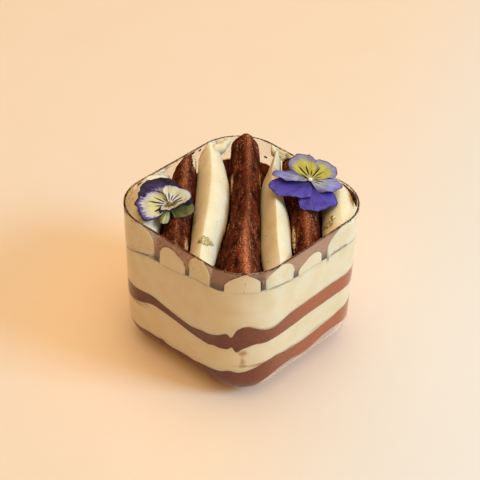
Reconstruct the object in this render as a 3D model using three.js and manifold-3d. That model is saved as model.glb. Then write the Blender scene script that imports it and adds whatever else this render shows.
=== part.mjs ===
// A clear square dessert cup filled with tiramisu: two thin coffee sponge layers between two layers of
// cream, seven logs of piped cream laid corner to corner on top, and two viola flowers resting on them.
// Millimetres, +Z up. The origin is the middle of the cup's flat base. The corner that the logs run
// towards is called the front corner: it points along +X and -Y.
import * as THREE from 'three';
import Module from 'manifold-3d';

const wasm = await Module();
wasm.setup();

// Cup: a rounded square that widens a little towards its rim, with a generous round at the bottom edge
const CUP_HEIGHT = 63;
const RIM_HALF = 37.5;
const RIM_CORNER = 19;
const BASE_HALF = 36.1;
const BASE_CORNER = 18.5;
const WALL = 0.9;
const BOTTOM_ROUND = 12;

// Clearance between neighbouring pieces, and how far above the rim the cream may stand
const GAP = 0.3;
const HEADROOM = 8;

// Outline steps: each quarter of the outline is half a corner, a straight side and half a corner
const QUARTER_STEPS = 18;
const CORNER_STEPS = 4;
const CUP_CORNER_STEPS = 6;
const CORNER_SHARE = CORNER_STEPS / QUARTER_STEPS;

// Heights of the layer boundaries at the wall, at 24 even places round the cup from the front corner
const LOWER_SPONGE_TOP = [
  14.2, 18.0, 17.1, 16.9, 18.0, 19.6, 20.6, 20, 18.5, 17, 16, 16.5,
  17, 16, 14.5, 13, 12.5, 11.5, 10.6, 10.4, 10.7, 10.8, 11.7, 12.9,
];
const UPPER_SPONGE_BOTTOM = [
  26.4, 27.9, 28.2, 29.0, 29.1, 29.2, 28.0, 28, 28, 28, 27.5, 27,
  27.5, 27, 26, 25, 24, 22.5, 21.6, 22.9, 26.0, 25.3, 24.1, 24.4,
];
const UPPER_SPONGE_TOP = [
  36.2, 33.8, 35.5, 35.9, 36.2, 36.1, 36, 35, 34, 33.5, 34, 34.5,
  35, 34, 32.5, 31, 30.5, 29.5, 28.8, 29.4, 30.3, 28.2, 27.8, 30.5,
];
const CREAM_TOP = [
  53.5, 53.9, 51.8, 51.7, 51.3, 50.9, 49.6, 50, 51, 52, 52.5, 53,
  53, 52.5, 51.5, 50.5, 49.5, 48, 46.8, 48.1, 49.2, 49.7, 52.0, 52.8,
];
// How high the lower sponge's edge hangs above the cup's floor: it sags clear on the side facing +X
const LOWER_SPONGE_LIFT = [
  2.0, 8.6, 10.4, 9.0, 11.4, 11.2, 9.0, 6, 3, 1, 0, 0,
  0, 0, 0, 0, 0, 0, 0, 0, 0, 0, 0, 0,
];
// Where the edge hangs at least this high, the sponge bridges to it in a slope over its first rows
const FULL_LIFT = 4;
const SLOPE_SHARE = 0.6;
const LOWEST_STEPS = 5;
const ROUND_STEPS = 6;
// Shares of the way from the middle to the wall, and of a band's height, at which a layer has rows
const REACHES = [0.35, 0.7];
const BAND_SHARES = [0, 0.5, 1];

// Piped logs. Stations run along a log from its back end to its front end. left, right and crest hold
// even control values: the two edges, measured across the logs, and the height of the crest. blunt says
// how far the section fills out at the back and the front end, where the log is squashed on the wall.
const LOG_STEP = 4.5;
const LOGS = [
  { name: 'cream_log_1', back: -26, front: 26, ridge: 0.2, lean: 0.1, dusted: false, blunt: [0.5, 0.5],
    left: [-46, -46, -46, -46, -46], right: [-27.2, -28, -30.2, -31.8, -34.2],
    crest: [62.4, 63, 63, 62.5, 61.6] },
  { name: 'cocoa_log_2', back: -36, front: 36, ridge: 0.3, lean: 0.1, dusted: true, blunt: [1, 0.6],
    left: [-26.6, -27.6, -29.9, -31.3, -31.2], right: [-17.2, -17.3, -18.8, -20.3, -21.8],
    crest: [63, 63, 63, 62.2, 57] },
  { name: 'cream_log_3', back: -46, front: 46, ridge: 0.35, lean: -0.1, dusted: false, blunt: [1, 1],
    left: [-15.8, -16.8, -18.4, -19.9, -20.4], right: [-7.6, -4.0, -4.9, -9.3, -12.9],
    crest: [62.8, 63.5, 63.6, 63.2, 62.6] },
  { name: 'cocoa_log_4', back: -48, front: 48, ridge: 0.5, lean: 0.15, dusted: true, blunt: [1, 0],
    left: [-3.6, -3.9, -5.0, -8.6, -8.0], right: [8.4, 8.2, 7.2, 6.4, 6.4],
    crest: [64.6, 64, 63.6, 63.3, 62.2] },
  { name: 'cream_log_5', back: -40, front: 46, ridge: 0.6, lean: 0.05, dusted: false, blunt: [0, 1],
    left: [14.2, 8.4, 7.2, 6.6, 7.4], right: [17, 16.3, 18.5, 18.3, 18.6],
    crest: [62.8, 63, 63.5, 63.2, 62.8] },
  { name: 'cocoa_log_6', back: -36, front: 36, ridge: 0.3, lean: -0.1, dusted: true, blunt: [1, 0.6],
    left: [17.4, 17.2, 18.8, 18.9, 20.4], right: [29.5, 30.4, 30.7, 29.8, 29.3],
    crest: [62, 62.5, 63, 61.6, 55] },
  { name: 'cream_log_7', back: -26, front: 26, ridge: 0.2, lean: -0.1, dusted: false, blunt: [0.5, 0.5],
    left: [30, 31, 31, 30.4, 32.4], right: [46, 46, 46, 46, 46],
    crest: [62.4, 63, 63, 62, 61.4] },
];
// A log's section: an oval with its underside cut flat, so that the sides tuck in at the foot. The lower
// its fullness, the squarer its shoulders. A ridged log loses RIDGE_CUT of its height beside the crest.
const SECTION_STEPS = 12;
const SECTION_TUCK = 25 * Math.PI / 180;
const SECTION_FULLNESS = 0.8;
const END_FULLNESS = 0.42;
const END_LENGTH = 14;
const CORNER_REACH = 8;
const RIDGE_CUT = 0.45;
const FOOT_STEPS = 3;
// Slow lumps along a log, as a piping bag leaves them
const LUMP_HEIGHT = 0.35;
const LUMP_LENGTH = 11;

// Pulled tails of cream at the back ends of two logs: from, to (across, along, up) and end radii
const TAILS = {
  cream_log_3: { from: [-11.5, -36.5, 60.2], to: [-3, -43.6, 62.3], thick: 2.9, thin: 1.5 },
  cream_log_5: { from: [15.4, -34, 61], to: [14.2, -37.6, 63.8], thick: 1.9, thin: 0.8 },
};
const TAIL_SIDES = 8;
const TAIL_STEPS = 5;

// Flakes of gold leaf pressed on two logs: place (across, along), radius and number of sides
const FLAKES = {
  cream_log_3: [{ across: -14.6, along: 24.9, radius: 2 }, { across: -12.9, along: 23.6, radius: 1.3 }],
  cream_log_7: [{ across: 32.8, along: 11.2, radius: 2 }, { across: 33.9, along: 8.6, radius: 1.3 }],
};
const FLAKE_SIDES = 7;
const FLAKE_HEIGHT = 0.5;
const FLAKE_DEPTH = 1;
const FLAKE_UNEVEN = 0.25;
const FLAKE_TOP = 0.7;

// Violas. centre is across, along, up; a flower leans towards the front corner. Each petal spans two
// angles, in degrees, in the flower's plane (0 across to the right, 90 away from the front corner), and
// reach holds its length at even steps between them. rise, bend and ruffle shape its height.
const PETAL_THICK = 0.6;
const PETAL_ROOT = 0.7;
const PETAL_SPANS = 9;
const PETAL_RINGS = 4;
const RUFFLE_TURNS = 1.25;
const HUB_RADIUS = 2.2;
const HUB_DROP = 2;
const HUB_HEIGHT = 2.3;
const HUB_SIDES = 8;
const HUB_LEVELS = [-0.7, 0, 0.7];
const FLOWERS = [
  { name: 'viola_right', centre: [25.5, -7.8, 67.5], lean: 12, petals: [
    { from: 2, to: 78, reach: [9.5, 12.2, 12.9, 12.9, 12.8, 12.5, 12, 10.8, 8], base: 0.4, rise: 0.9,
      bend: -0.7, ruffle: 0.4 },
    { from: 60, to: 148, reach: [7.5, 10, 11.8, 12.8, 13.1, 12.5, 11.7, 10.7, 8], base: 0.7, rise: 0.9,
      bend: -0.7, ruffle: 0.4 },
    { from: 152, to: 190, reach: [9, 12.2, 14.3, 9.6, 7], base: 0.1, rise: 1.6, bend: 0.4, ruffle: 0.2 },
    { from: -62, to: 16, reach: [6.2, 8.6, 11.2, 13.6, 10.8, 7], base: 0.1, rise: 0.8, bend: -0.5,
      ruffle: 0.4 },
    { from: -174, to: -84, reach: [15.2, 14.2, 12.4, 11, 10.2, 8.2], base: -0.6, rise: -0.4, bend: 0.5,
      ruffle: 0.5 },
    { from: -122, to: -28, reach: [10.5, 13.3, 15, 16.5, 16.6, 16.2, 15.3, 11], base: -0.9, rise: -0.5,
      bend: 0.4, ruffle: 0.6 },
  ] },
  { name: 'viola_left', centre: [-27.8, 5.5, 66], lean: 12, petals: [
    { from: 70, to: 172, reach: [10, 12.2, 14.3, 14.4, 14.1, 13, 12], base: -0.8, rise: 0.3, bend: 0.4,
      ruffle: 0.6 },
    { from: -2, to: 92, reach: [9, 9.4, 9, 9.5, 10.9, 11.5], base: -0.4, rise: 0.5, bend: 0.3,
      ruffle: 0.4 },
    { from: -14, to: 118, reach: [5.2, 7.6, 8.7, 8.1, 7.9, 7.8, 8, 6.5], base: 0.5, rise: 0.6, bend: 0.6,
      ruffle: 0.3 },
    { from: 112, to: 222, reach: [5, 7, 10.6, 11.4, 12, 12.8, 11.6, 10.5, 9.5], base: 0, rise: 0.4,
      bend: 0.5, ruffle: 0.5 },
    { from: -152, to: -92, reach: [9.6, 9.8, 9.7, 10.3, 6.6], base: -0.5, rise: -0.6, bend: -0.4,
      ruffle: 0.3 },
    { from: -74, to: 12, reach: [6, 7.8, 9.2, 9.9, 8.8], base: -0.5, rise: -0.4, bend: 0.6, ruffle: 0.4 },
    { from: -150, to: 14, reach: [4.8, 5.8, 4.3, 4.6, 4, 4.3, 5, 6.3, 8.6], base: 0.7, rise: 0.7,
      bend: 0.4, ruffle: 0.2 },
  ] },
];

const CLEAR_PLASTIC = { color: 0xe9dfd3, roughness: 0.08, metalness: 0 };
const SPONGE = { color: 0x5a2a1a, roughness: 0.85, metalness: 0 };
const CREAM = { color: 0xf1e6c9, roughness: 0.55, metalness: 0 };
const COCOA = { color: 0x4a1d10, roughness: 0.95, metalness: 0 };
const VIOLET_PETAL = { color: 0x5b49b4, roughness: 0.7, metalness: 0 };
const PALE_PETAL = { color: 0xe4e0c0, roughness: 0.7, metalness: 0 };

const mix = THREE.MathUtils.lerp;
const smooth = THREE.MathUtils.smoothstep;

// Smooth curve through even control values. closed joins the last value to the first.
function through(values, share, closed) {
  const count = values.length;
  const place = share * (closed ? count : count - 1);
  const first = Math.floor(place);
  const at = (i) => values[closed ? (i + count) % count : THREE.MathUtils.clamp(i, 0, count - 1)];
  const t = place - first;
  const a = at(first - 1);
  const b = at(first);
  const c = at(first + 1);
  const d = at(first + 2);
  return b + 0.5 * t * (c - a + t * (2 * a - 5 * b + 4 * c - d + t * (3 * (b - c) + d - a)));
}

// Place across and along the logs as X and Y, and back
function onPlan(across, along, up) {
  return new THREE.Vector3((across + along) * Math.SQRT1_2, (across - along) * Math.SQRT1_2, up);
}

function acrossAlong(point) {
  return [(point.x + point.y) * Math.SQRT1_2, (point.x - point.y) * Math.SQRT1_2];
}

// Inset of a surface that runs parallel to the cup's outside, depth inside it, at height z
function insetAt(z, depth) {
  const radius = BOTTOM_ROUND - depth;
  const below = Math.max(BOTTOM_ROUND - z, 0);
  return depth + radius - Math.sqrt(Math.max(radius * radius - below * below, 0));
}

// Point of the rounded square outline at a height. turn runs once round, anticlockwise from above,
// from 0 at the front corner.
function outlinePoint(turn, z, inset) {
  const half = mix(BASE_HALF, RIM_HALF, z / CUP_HEIGHT) - inset;
  const corner = mix(BASE_CORNER, RIM_CORNER, z / CUP_HEIGHT) - inset;
  const flat = half - corner;
  const quarter = Math.floor(turn * 4);
  const t = turn * 4 - quarter;
  const point = new THREE.Vector2();
  if (t < CORNER_SHARE || t > 1 - CORNER_SHARE) {
    const side = t < 0.5 ? -1 : 1;
    const past = side < 0 ? t / CORNER_SHARE - 1 : (t - 1) / CORNER_SHARE + 1;
    const angle = past * Math.PI / 4;
    point.set(flat + corner * Math.cos(angle), side * flat + corner * Math.sin(angle));
  } else {
    point.set(half, mix(-flat, flat, (t - CORNER_SHARE) / (1 - 2 * CORNER_SHARE)));
  }
  point.rotateAround(new THREE.Vector2(), quarter * Math.PI / 2);
  return new THREE.Vector3(point.x, point.y, z);
}

// Even turns for the food, which waves along the straight sides
function foodTurns() {
  const count = 4 * QUARTER_STEPS;
  return Array.from({ length: count }, (_, i) => i / count);
}

// Turns for the cup, which needs steps only round its corners
function cupTurns() {
  const turns = [];
  for (let quarter = 0; quarter < 4; quarter += 1) {
    for (let i = 0; i <= CUP_CORNER_STEPS; i += 1) {
      turns.push((quarter + CORNER_SHARE * i / CUP_CORNER_STEPS) / 4);
    }
    for (let i = CUP_CORNER_STEPS; i > 0; i -= 1) {
      turns.push((quarter + 1 - CORNER_SHARE * i / CUP_CORNER_STEPS) / 4);
    }
  }
  return turns;
}

// Closed skin over rows of points, each row once round. start and end are the middles of its two caps.
function skin(start, rows, end) {
  const count = rows[0].length;
  const points = [start, ...rows.flat(), end];
  const index = [];
  const at = (row, i) => 1 + row * count + i % count;
  for (let i = 0; i < count; i += 1) {
    index.push(0, at(0, i + 1), at(0, i));
    index.push(points.length - 1, at(rows.length - 1, i), at(rows.length - 1, i + 1));
    for (let row = 0; row + 1 < rows.length; row += 1) {
      index.push(at(row, i), at(row, i + 1), at(row + 1, i + 1));
      index.push(at(row, i), at(row + 1, i + 1), at(row + 1, i));
    }
  }
  const geometry = new THREE.BufferGeometry().setFromPoints(points);
  geometry.setIndex(index);
  return geometry;
}

function toSolid(geometry) {
  return new wasm.Manifold(new wasm.Mesh({
    numProp: 3,
    vertProperties: new Float32Array(geometry.attributes.position.array),
    triVerts: new Uint32Array(geometry.index.array),
  }));
}

function toGeometry(solid) {
  const mesh = solid.getMesh();
  const geometry = new THREE.BufferGeometry();
  geometry.setAttribute('position', new THREE.BufferAttribute(mesh.vertProperties, 3));
  geometry.setIndex(new THREE.BufferAttribute(mesh.triVerts, 1));
  return geometry;
}

function piece(name, geometry, finish) {
  geometry.computeVertexNormals();
  const mesh = new THREE.Mesh(geometry, new THREE.MeshStandardMaterial(finish));
  mesh.name = name;
  return mesh;
}

// Rows of a surface parallel to the cup's outside, from its flat bottom up to a height
function shellRows(turns, depth, top) {
  const radius = BOTTOM_ROUND - depth;
  const heights = [];
  for (let i = 0; i <= ROUND_STEPS; i += 1) {
    heights.push(BOTTOM_ROUND - radius * Math.cos(i / ROUND_STEPS * Math.PI / 2));
  }
  heights.push(top);
  return heights.map((z) => turns.map((turn) => outlinePoint(turn, z, insetAt(z, depth))));
}

function cup() {
  const turns = cupTurns();
  const outside = shellRows(turns, 0, CUP_HEIGHT);
  const inside = shellRows(turns, WALL, CUP_HEIGHT).reverse();
  const geometry = skin(new THREE.Vector3(), [...outside, ...inside], new THREE.Vector3(0, 0, WALL));
  return piece('cup', geometry, CLEAR_PLASTIC);
}

// Boundary between layers: its height at the wall follows the control values, and it levels inwards
function boundary(heights, shift) {
  const mean = heights.reduce((sum, z) => sum + z, 0) / heights.length;
  return (turn, reach) => mix(mean, through(heights, turn, true), reach * reach) + shift;
}

const creamFloor = boundary(CREAM_TOP, 0);

function discRow(surface, reach) {
  return foodTurns().map((turn) => {
    const z = surface(turn, 1);
    const point = outlinePoint(turn, z, insetAt(z, WALL + GAP));
    return new THREE.Vector3(point.x * reach, point.y * reach, surface(turn, reach));
  });
}

function wallRow(lower, upper, share) {
  return foodTurns().map((turn) => {
    const z = mix(lower(turn, 1), upper(turn, 1), share);
    return outlinePoint(turn, z, insetAt(z, WALL + GAP));
  });
}

// A layer between two boundaries, out to the wall
function layer(name, lower, upper, finish) {
  const rows = [
    ...REACHES.map((reach) => discRow(lower, reach)),
    ...BAND_SHARES.map((share) => wallRow(lower, upper, share)),
    ...REACHES.toReversed().map((reach) => discRow(upper, reach)),
  ];
  const start = new THREE.Vector3(0, 0, lower(0, 0));
  const end = new THREE.Vector3(0, 0, upper(0, 0));
  return piece(name, skin(start, rows, end), finish);
}

// The lowest layer rests on the cup's floor. It follows the rounded bottom edge, or bridges it in a
// straight slope where its edge hangs above the floor.
function lowestLayer(name, upper, finish) {
  const depth = WALL + GAP;
  const floorInset = insetAt(depth, depth);
  const shares = Array.from({ length: LOWEST_STEPS + 1 }, (_, i) => i / LOWEST_STEPS);
  const rows = shares.map((share) => foodTurns().map((turn) => {
    const top = upper(turn, 1);
    const filledZ = mix(depth, top, share * share);
    const filled = outlinePoint(turn, filledZ, insetAt(filledZ, depth));
    const lift = Math.max(through(LOWER_SPONGE_LIFT, turn, true), 0);
    const slope = Math.min(share / SLOPE_SHARE, 1);
    const band = Math.max(share - SLOPE_SHARE, 0) / (1 - SLOPE_SHARE);
    const hungZ = mix(depth + lift * slope, top, band);
    const hungInset = Math.max(mix(floorInset, depth, slope), insetAt(hungZ, depth));
    const hung = outlinePoint(turn, hungZ, hungInset);
    return filled.lerp(hung, smooth(lift, 0, FULL_LIFT));
  }));
  rows.push(...REACHES.toReversed().map((reach) => discRow(upper, reach)));
  const end = new THREE.Vector3(0, 0, upper(0, 0));
  return piece(name, skin(new THREE.Vector3(0, 0, depth), rows, end), finish);
}

// Height of the cream that the logs lie on, at a place on plan: the place is read as a turn and a share
// of the way to the wall
const rimEdges = foodTurns().map((turn) => outlinePoint(turn, CUP_HEIGHT, WALL));

function floorHeight(point) {
  const sector = rimEdges.findIndex((edge, i) => {
    const next = rimEdges[(i + 1) % rimEdges.length];
    return edge.x * point.y - edge.y * point.x >= 0 && next.x * point.y - next.y * point.x < 0;
  });
  if (sector < 0) return creamFloor(0, 0);
  const from = rimEdges[sector];
  const to = rimEdges[(sector + 1) % rimEdges.length];
  const beyond = from.x * point.y - from.y * point.x;
  const before = point.x * to.y - point.y * to.x;
  const share = beyond / (beyond + before);
  const reach = Math.hypot(point.x, point.y) / from.clone().lerp(to, share).setZ(0).length();
  return creamFloor((sector + share) / rimEdges.length, Math.min(reach, 1));
}

// Edges and crest of a log at one station
function sectionAt(log, along) {
  const share = THREE.MathUtils.clamp((along - log.back) / (log.front - log.back), 0, 1);
  const lump = LUMP_HEIGHT * Math.sin(2 * Math.PI * along / LUMP_LENGTH + log.left[2]);
  return {
    left: through(log.left, share) + GAP / 2,
    right: through(log.right, share) - GAP / 2,
    crest: through(log.crest, share) + lump,
  };
}

// Fullness of a log's section at a station: it is squashed over the last stretch before the wall, which
// stands nearer the farther out the log lies
function fullnessAt(log, along, middle) {
  const wall = Math.SQRT2 * RIM_HALF - Math.max(Math.abs(middle), CORNER_REACH);
  const squash = log.blunt[along < 0 ? 0 : 1] * smooth(Math.abs(along), wall - END_LENGTH, wall);
  return mix(SECTION_FULLNESS, END_FULLNESS, squash);
}

// Height over the foot as a share of the crest's, at an angle round the section
function sectionRise(log, angle, fullness) {
  const tuck = Math.sin(SECTION_TUCK);
  const oval = ((Math.sin(angle) + tuck) / (1 + tuck)) ** fullness;
  return oval * (1 - Math.abs(Math.cos(angle)) * RIDGE_CUT * log.ridge);
}

// Section of a log at one station, from its right foot over the crest to its left foot and back
function sectionRow(log, along) {
  const { left, right, crest } = sectionAt(log, along);
  const middle = (left + right) / 2;
  const half = (right - left) / 2;
  const fullness = fullnessAt(log, along, middle);
  const row = [];
  for (let i = 0; i <= SECTION_STEPS; i += 1) {
    const angle = mix(-SECTION_TUCK, Math.PI + SECTION_TUCK, i / SECTION_STEPS);
    const rise = sectionRise(log, angle, fullness);
    const across = middle + half * (Math.cos(angle) * (1 - Math.abs(log.lean) * rise) + log.lean * rise);
    const foot = floorHeight(onPlan(across, along, 0)) + GAP;
    row.push(onPlan(across, along, mix(foot, crest, rise)));
  }
  const last = row[SECTION_STEPS];
  for (let i = 1; i < FOOT_STEPS; i += 1) {
    const point = last.clone().lerp(row[0], i / FOOT_STEPS);
    point.z = floorHeight(point) + GAP;
    row.push(point);
  }
  return row;
}

function logSkin(log) {
  const rows = [];
  for (let along = log.back; along <= log.front; along += LOG_STEP) rows.push(sectionRow(log, along));
  const middle = (row) => row.reduce((sum, point) => sum.add(point), new THREE.Vector3())
    .divideScalar(row.length);
  return skin(middle(rows[0]), rows, middle(rows.at(-1)));
}

// Top of a log at a place across it, by walking over its section
function topHeight(log, across, along) {
  const row = sectionRow(log, along).slice(0, SECTION_STEPS + 1);
  let height = -Infinity;
  for (let i = 0; i < SECTION_STEPS; i += 1) {
    const [a] = acrossAlong(row[i]);
    const [b] = acrossAlong(row[i + 1]);
    if (a !== b && (across - a) * (across - b) <= 0) {
      height = Math.max(height, mix(row[i].z, row[i + 1].z, (across - a) / (b - a)));
    }
  }
  return height;
}

// A tapering round tail between two places, with round ends
function tailSolid({ from, to, thick, thin }) {
  const start = onPlan(...from);
  const end = onPlan(...to);
  const frame = new THREE.Quaternion().setFromUnitVectors(
    new THREE.Vector3(0, 0, 1),
    end.clone().sub(start).normalize(),
  );
  const rows = [];
  for (let i = 1; i < TAIL_STEPS; i += 1) {
    const share = i / TAIL_STEPS;
    const radius = mix(thick, thin, share) * Math.sqrt(Math.sin(share * Math.PI));
    rows.push(Array.from({ length: TAIL_SIDES }, (_, side) => {
      const angle = side / TAIL_SIDES * 2 * Math.PI;
      return new THREE.Vector3(radius * Math.cos(angle), radius * Math.sin(angle), 0)
        .applyQuaternion(frame).add(start.clone().lerp(end, share));
    }));
  }
  return toSolid(skin(start, rows, end));
}

// A low uneven disc sunk in the top of a log
function flakeSolid(log, { across, along, radius }) {
  const top = topHeight(log, across, along);
  const ring = (reach, height) => Array.from({ length: FLAKE_SIDES }, (_, side) => {
    const angle = side / FLAKE_SIDES * 2 * Math.PI;
    const uneven = reach * radius * (1 + FLAKE_UNEVEN * Math.sin(3 * angle + radius));
    const x = across + uneven * Math.cos(angle);
    const y = along - uneven * Math.sin(angle);
    return onPlan(x, y, topHeight(log, x, y) + height);
  });
  const rows = [ring(1, -FLAKE_DEPTH), ring(1, FLAKE_HEIGHT / 2), ring(FLAKE_TOP, FLAKE_HEIGHT)];
  const start = onPlan(across, along, top - FLAKE_DEPTH);
  return toSolid(skin(start, rows, onPlan(across, along, top + FLAKE_HEIGHT)));
}

// The room inside the cup, carried on upwards past the rim, less the clearance
function cavity() {
  const depth = WALL + GAP;
  const top = CUP_HEIGHT + HEADROOM;
  const rows = shellRows(cupTurns(), depth, top);
  return toSolid(skin(new THREE.Vector3(0, 0, depth), rows, new THREE.Vector3(0, 0, top)));
}

const logBodies = LOGS.map((log) => {
  let solid = toSolid(logSkin(log));
  if (TAILS[log.name]) solid = solid.add(tailSolid(TAILS[log.name]));
  for (const flake of FLAKES[log.name] ?? []) solid = solid.add(flakeSolid(log, flake));
  return solid.intersect(cavity());
});

// Height of a petal over its flower's plane
function petalHeight(petal, span, ring) {
  const fall = petal.rise * ring + petal.bend * ring * ring;
  const ruffle = Math.sin(2 * Math.PI * RUFFLE_TURNS * span + petal.from);
  return petal.base + fall + petal.ruffle * ring * ring * ruffle;
}

// A thin petal in its flower's plane, its upper and lower faces split alike
function petalSolid(petal) {
  const columns = PETAL_SPANS + 1;
  const upper = [];
  for (let r = 0; r <= PETAL_RINGS; r += 1) {
    for (let s = 0; s <= PETAL_SPANS; s += 1) {
      const span = s / PETAL_SPANS;
      const ring = r / PETAL_RINGS;
      const angle = mix(petal.from, petal.to, span) * Math.PI / 180;
      const reach = mix(PETAL_ROOT, through(petal.reach, span), ring);
      upper.push(new THREE.Vector3(
        reach * Math.cos(angle),
        reach * Math.sin(angle),
        petalHeight(petal, span, ring),
      ));
    }
  }
  const lower = upper.map((point) => new THREE.Vector3(point.x, point.y, point.z - PETAL_THICK));
  const under = upper.length;
  const index = [];
  const quad = (a, b, c, d) => index.push(a, b, c, a, c, d);
  for (let r = 0; r < PETAL_RINGS; r += 1) {
    for (let s = 0; s < PETAL_SPANS; s += 1) {
      const a = r * columns + s;
      const [b, c, d] = [a + columns, a + columns + 1, a + 1];
      index.push(a, b, c, a, c, d);
      index.push(under + a, under + c, under + b, under + a, under + d, under + c);
    }
  }
  for (let s = 0; s < PETAL_SPANS; s += 1) {
    const tip = PETAL_RINGS * columns + s;
    quad(s, s + 1, under + s + 1, under + s);
    quad(tip + 1, tip, under + tip, under + tip + 1);
  }
  for (let r = 0; r < PETAL_RINGS; r += 1) {
    const first = r * columns;
    const last = first + PETAL_SPANS;
    quad(first + columns, first, under + first, under + first + columns);
    quad(last, last + columns, under + last + columns, under + last);
  }
  const geometry = new THREE.BufferGeometry().setFromPoints([...upper, ...lower]);
  geometry.setIndex(index);
  return toSolid(geometry);
}

// The knob under the petals that joins them
function hubSolid() {
  const level = (height) => height * HUB_HEIGHT - HUB_DROP;
  const rows = HUB_LEVELS.map((height) => Array.from({ length: HUB_SIDES }, (_, side) => {
    const angle = side / HUB_SIDES * 2 * Math.PI;
    const radius = HUB_RADIUS * Math.sqrt(1 - height * height);
    return new THREE.Vector3(radius * Math.cos(angle), radius * Math.sin(angle), level(height));
  }));
  return toSolid(skin(new THREE.Vector3(0, 0, level(-1)), rows, new THREE.Vector3(0, 0, level(1))));
}

// A viola: its petals and hub joined in its plane, then leant and set in place, clear of the logs
function viola({ name, centre, lean, petals }, finish) {
  let solid = hubSolid();
  for (const petal of petals) solid = solid.add(petalSolid(petal));
  const right = onPlan(1, 0, 0);
  const away = onPlan(0, -1, 0);
  const angle = lean * Math.PI / 180;
  const back = away.multiplyScalar(Math.cos(angle)).add(new THREE.Vector3(0, 0, Math.sin(angle)));
  const place = new THREE.Matrix4().makeBasis(right, back, right.clone().cross(back));
  place.setPosition(onPlan(...centre));
  solid = solid.transform(place.toArray());
  for (const body of logBodies) solid = solid.subtract(body.translate([0, 0, GAP]));
  return piece(name, toGeometry(solid), finish);
}

const halfGap = GAP / 2;
const tiramisu = new THREE.Group();
tiramisu.add(cup());
tiramisu.add(lowestLayer('sponge_lower', boundary(LOWER_SPONGE_TOP, -halfGap), SPONGE));
tiramisu.add(layer(
  'cream_lower',
  boundary(LOWER_SPONGE_TOP, halfGap),
  boundary(UPPER_SPONGE_BOTTOM, -halfGap),
  CREAM,
));
tiramisu.add(layer(
  'sponge_upper',
  boundary(UPPER_SPONGE_BOTTOM, halfGap),
  boundary(UPPER_SPONGE_TOP, -halfGap),
  SPONGE,
));
tiramisu.add(layer('cream_upper', boundary(UPPER_SPONGE_TOP, halfGap), creamFloor, CREAM));
LOGS.forEach((log, i) => {
  tiramisu.add(piece(log.name, toGeometry(logBodies[i]), log.dusted ? COCOA : CREAM));
});
tiramisu.add(viola(FLOWERS[0], VIOLET_PETAL));
tiramisu.add(viola(FLOWERS[1], PALE_PETAL));

export default tiramisu;
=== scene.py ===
# %% [markdown]
# # Tiramisu in a clear cup
# The real dessert is built from the bottom up: a sponge soaked in coffee, cream, a second sponge, more
# cream, then seven logs piped side by side from corner to corner. Three of the logs are dusted with cocoa
# and two violas are laid on top. This lesson makes the pieces in the same order, each one as a surface
# worked out with numpy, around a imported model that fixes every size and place.

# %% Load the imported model
import itertools
import math

import bmesh
import bpy
import numpy as np
from mathutils import Matrix, Quaternion, Vector


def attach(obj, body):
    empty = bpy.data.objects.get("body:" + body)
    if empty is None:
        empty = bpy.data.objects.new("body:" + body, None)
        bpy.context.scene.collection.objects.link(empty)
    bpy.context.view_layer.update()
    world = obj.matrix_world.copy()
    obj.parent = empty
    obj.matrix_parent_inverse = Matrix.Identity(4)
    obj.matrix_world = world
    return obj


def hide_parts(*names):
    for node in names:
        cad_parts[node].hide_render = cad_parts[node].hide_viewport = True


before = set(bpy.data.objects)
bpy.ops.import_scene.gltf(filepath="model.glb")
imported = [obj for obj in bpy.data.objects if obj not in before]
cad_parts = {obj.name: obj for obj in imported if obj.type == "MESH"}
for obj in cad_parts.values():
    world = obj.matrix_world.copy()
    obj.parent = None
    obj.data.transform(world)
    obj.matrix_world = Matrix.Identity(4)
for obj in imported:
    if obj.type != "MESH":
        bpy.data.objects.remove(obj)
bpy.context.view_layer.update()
MM = 0.001

# %% [markdown]
# ## The camera
# The dessert is seen from above its front corner with a long lens, so that its sides hardly converge. The
# camera is placed first, because every later step is judged through it. It is aimed at a point and then
# rolled a little, as a hand-held camera is.

# %% Camera
CAMERA_PLACE = Vector((358.7, -393.7, 448.95)) * MM
CAMERA_AIM = Vector((-4.0, 4.0, 40.0)) * MM
CAMERA_ROLL = math.radians(1.611)
LENS = 129.18
SENSOR = 36

camera_data = bpy.data.cameras.new("camera")
camera_data.lens = LENS
camera_data.sensor_width = SENSOR
camera = bpy.data.objects.new("camera", camera_data)
aim = (CAMERA_AIM - CAMERA_PLACE).to_track_quat("-Z", "Y") @ Quaternion((0, 0, 1), CAMERA_ROLL)
camera.matrix_world = Matrix.Translation(CAMERA_PLACE) @ aim.to_matrix().to_4x4()
bpy.context.scene.collection.objects.link(camera)
bpy.context.scene.camera = camera
bpy.context.scene.view_settings.view_transform = "Standard"
print("Camera right", [round(v, 4) for v in aim @ Vector((1, 0, 0))])

# %% [markdown]
# ## Writing a material as arithmetic
# A procedural material is a sum of patterns. Node by node that is hard to read, so one small class wraps
# an output socket and turns +, - and * into Math nodes. A second class holds a material's tree and has
# one method that adds any other node.


# %% Shader arithmetic
class Wire:
    """One output socket. Arithmetic on it adds Math nodes to its finish."""

    def __init__(self, finish, socket):
        self.finish = finish
        self.socket = socket

    def __add__(self, other):
        return self.finish.math("ADD", self, other)

    def __sub__(self, other):
        return self.finish.math("SUBTRACT", self, other)

    def __rsub__(self, other):
        return self.finish.math("SUBTRACT", other, self)

    def __mul__(self, other):
        return self.finish.math("MULTIPLY", self, other)

    __radd__ = __add__
    __rmul__ = __mul__


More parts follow.
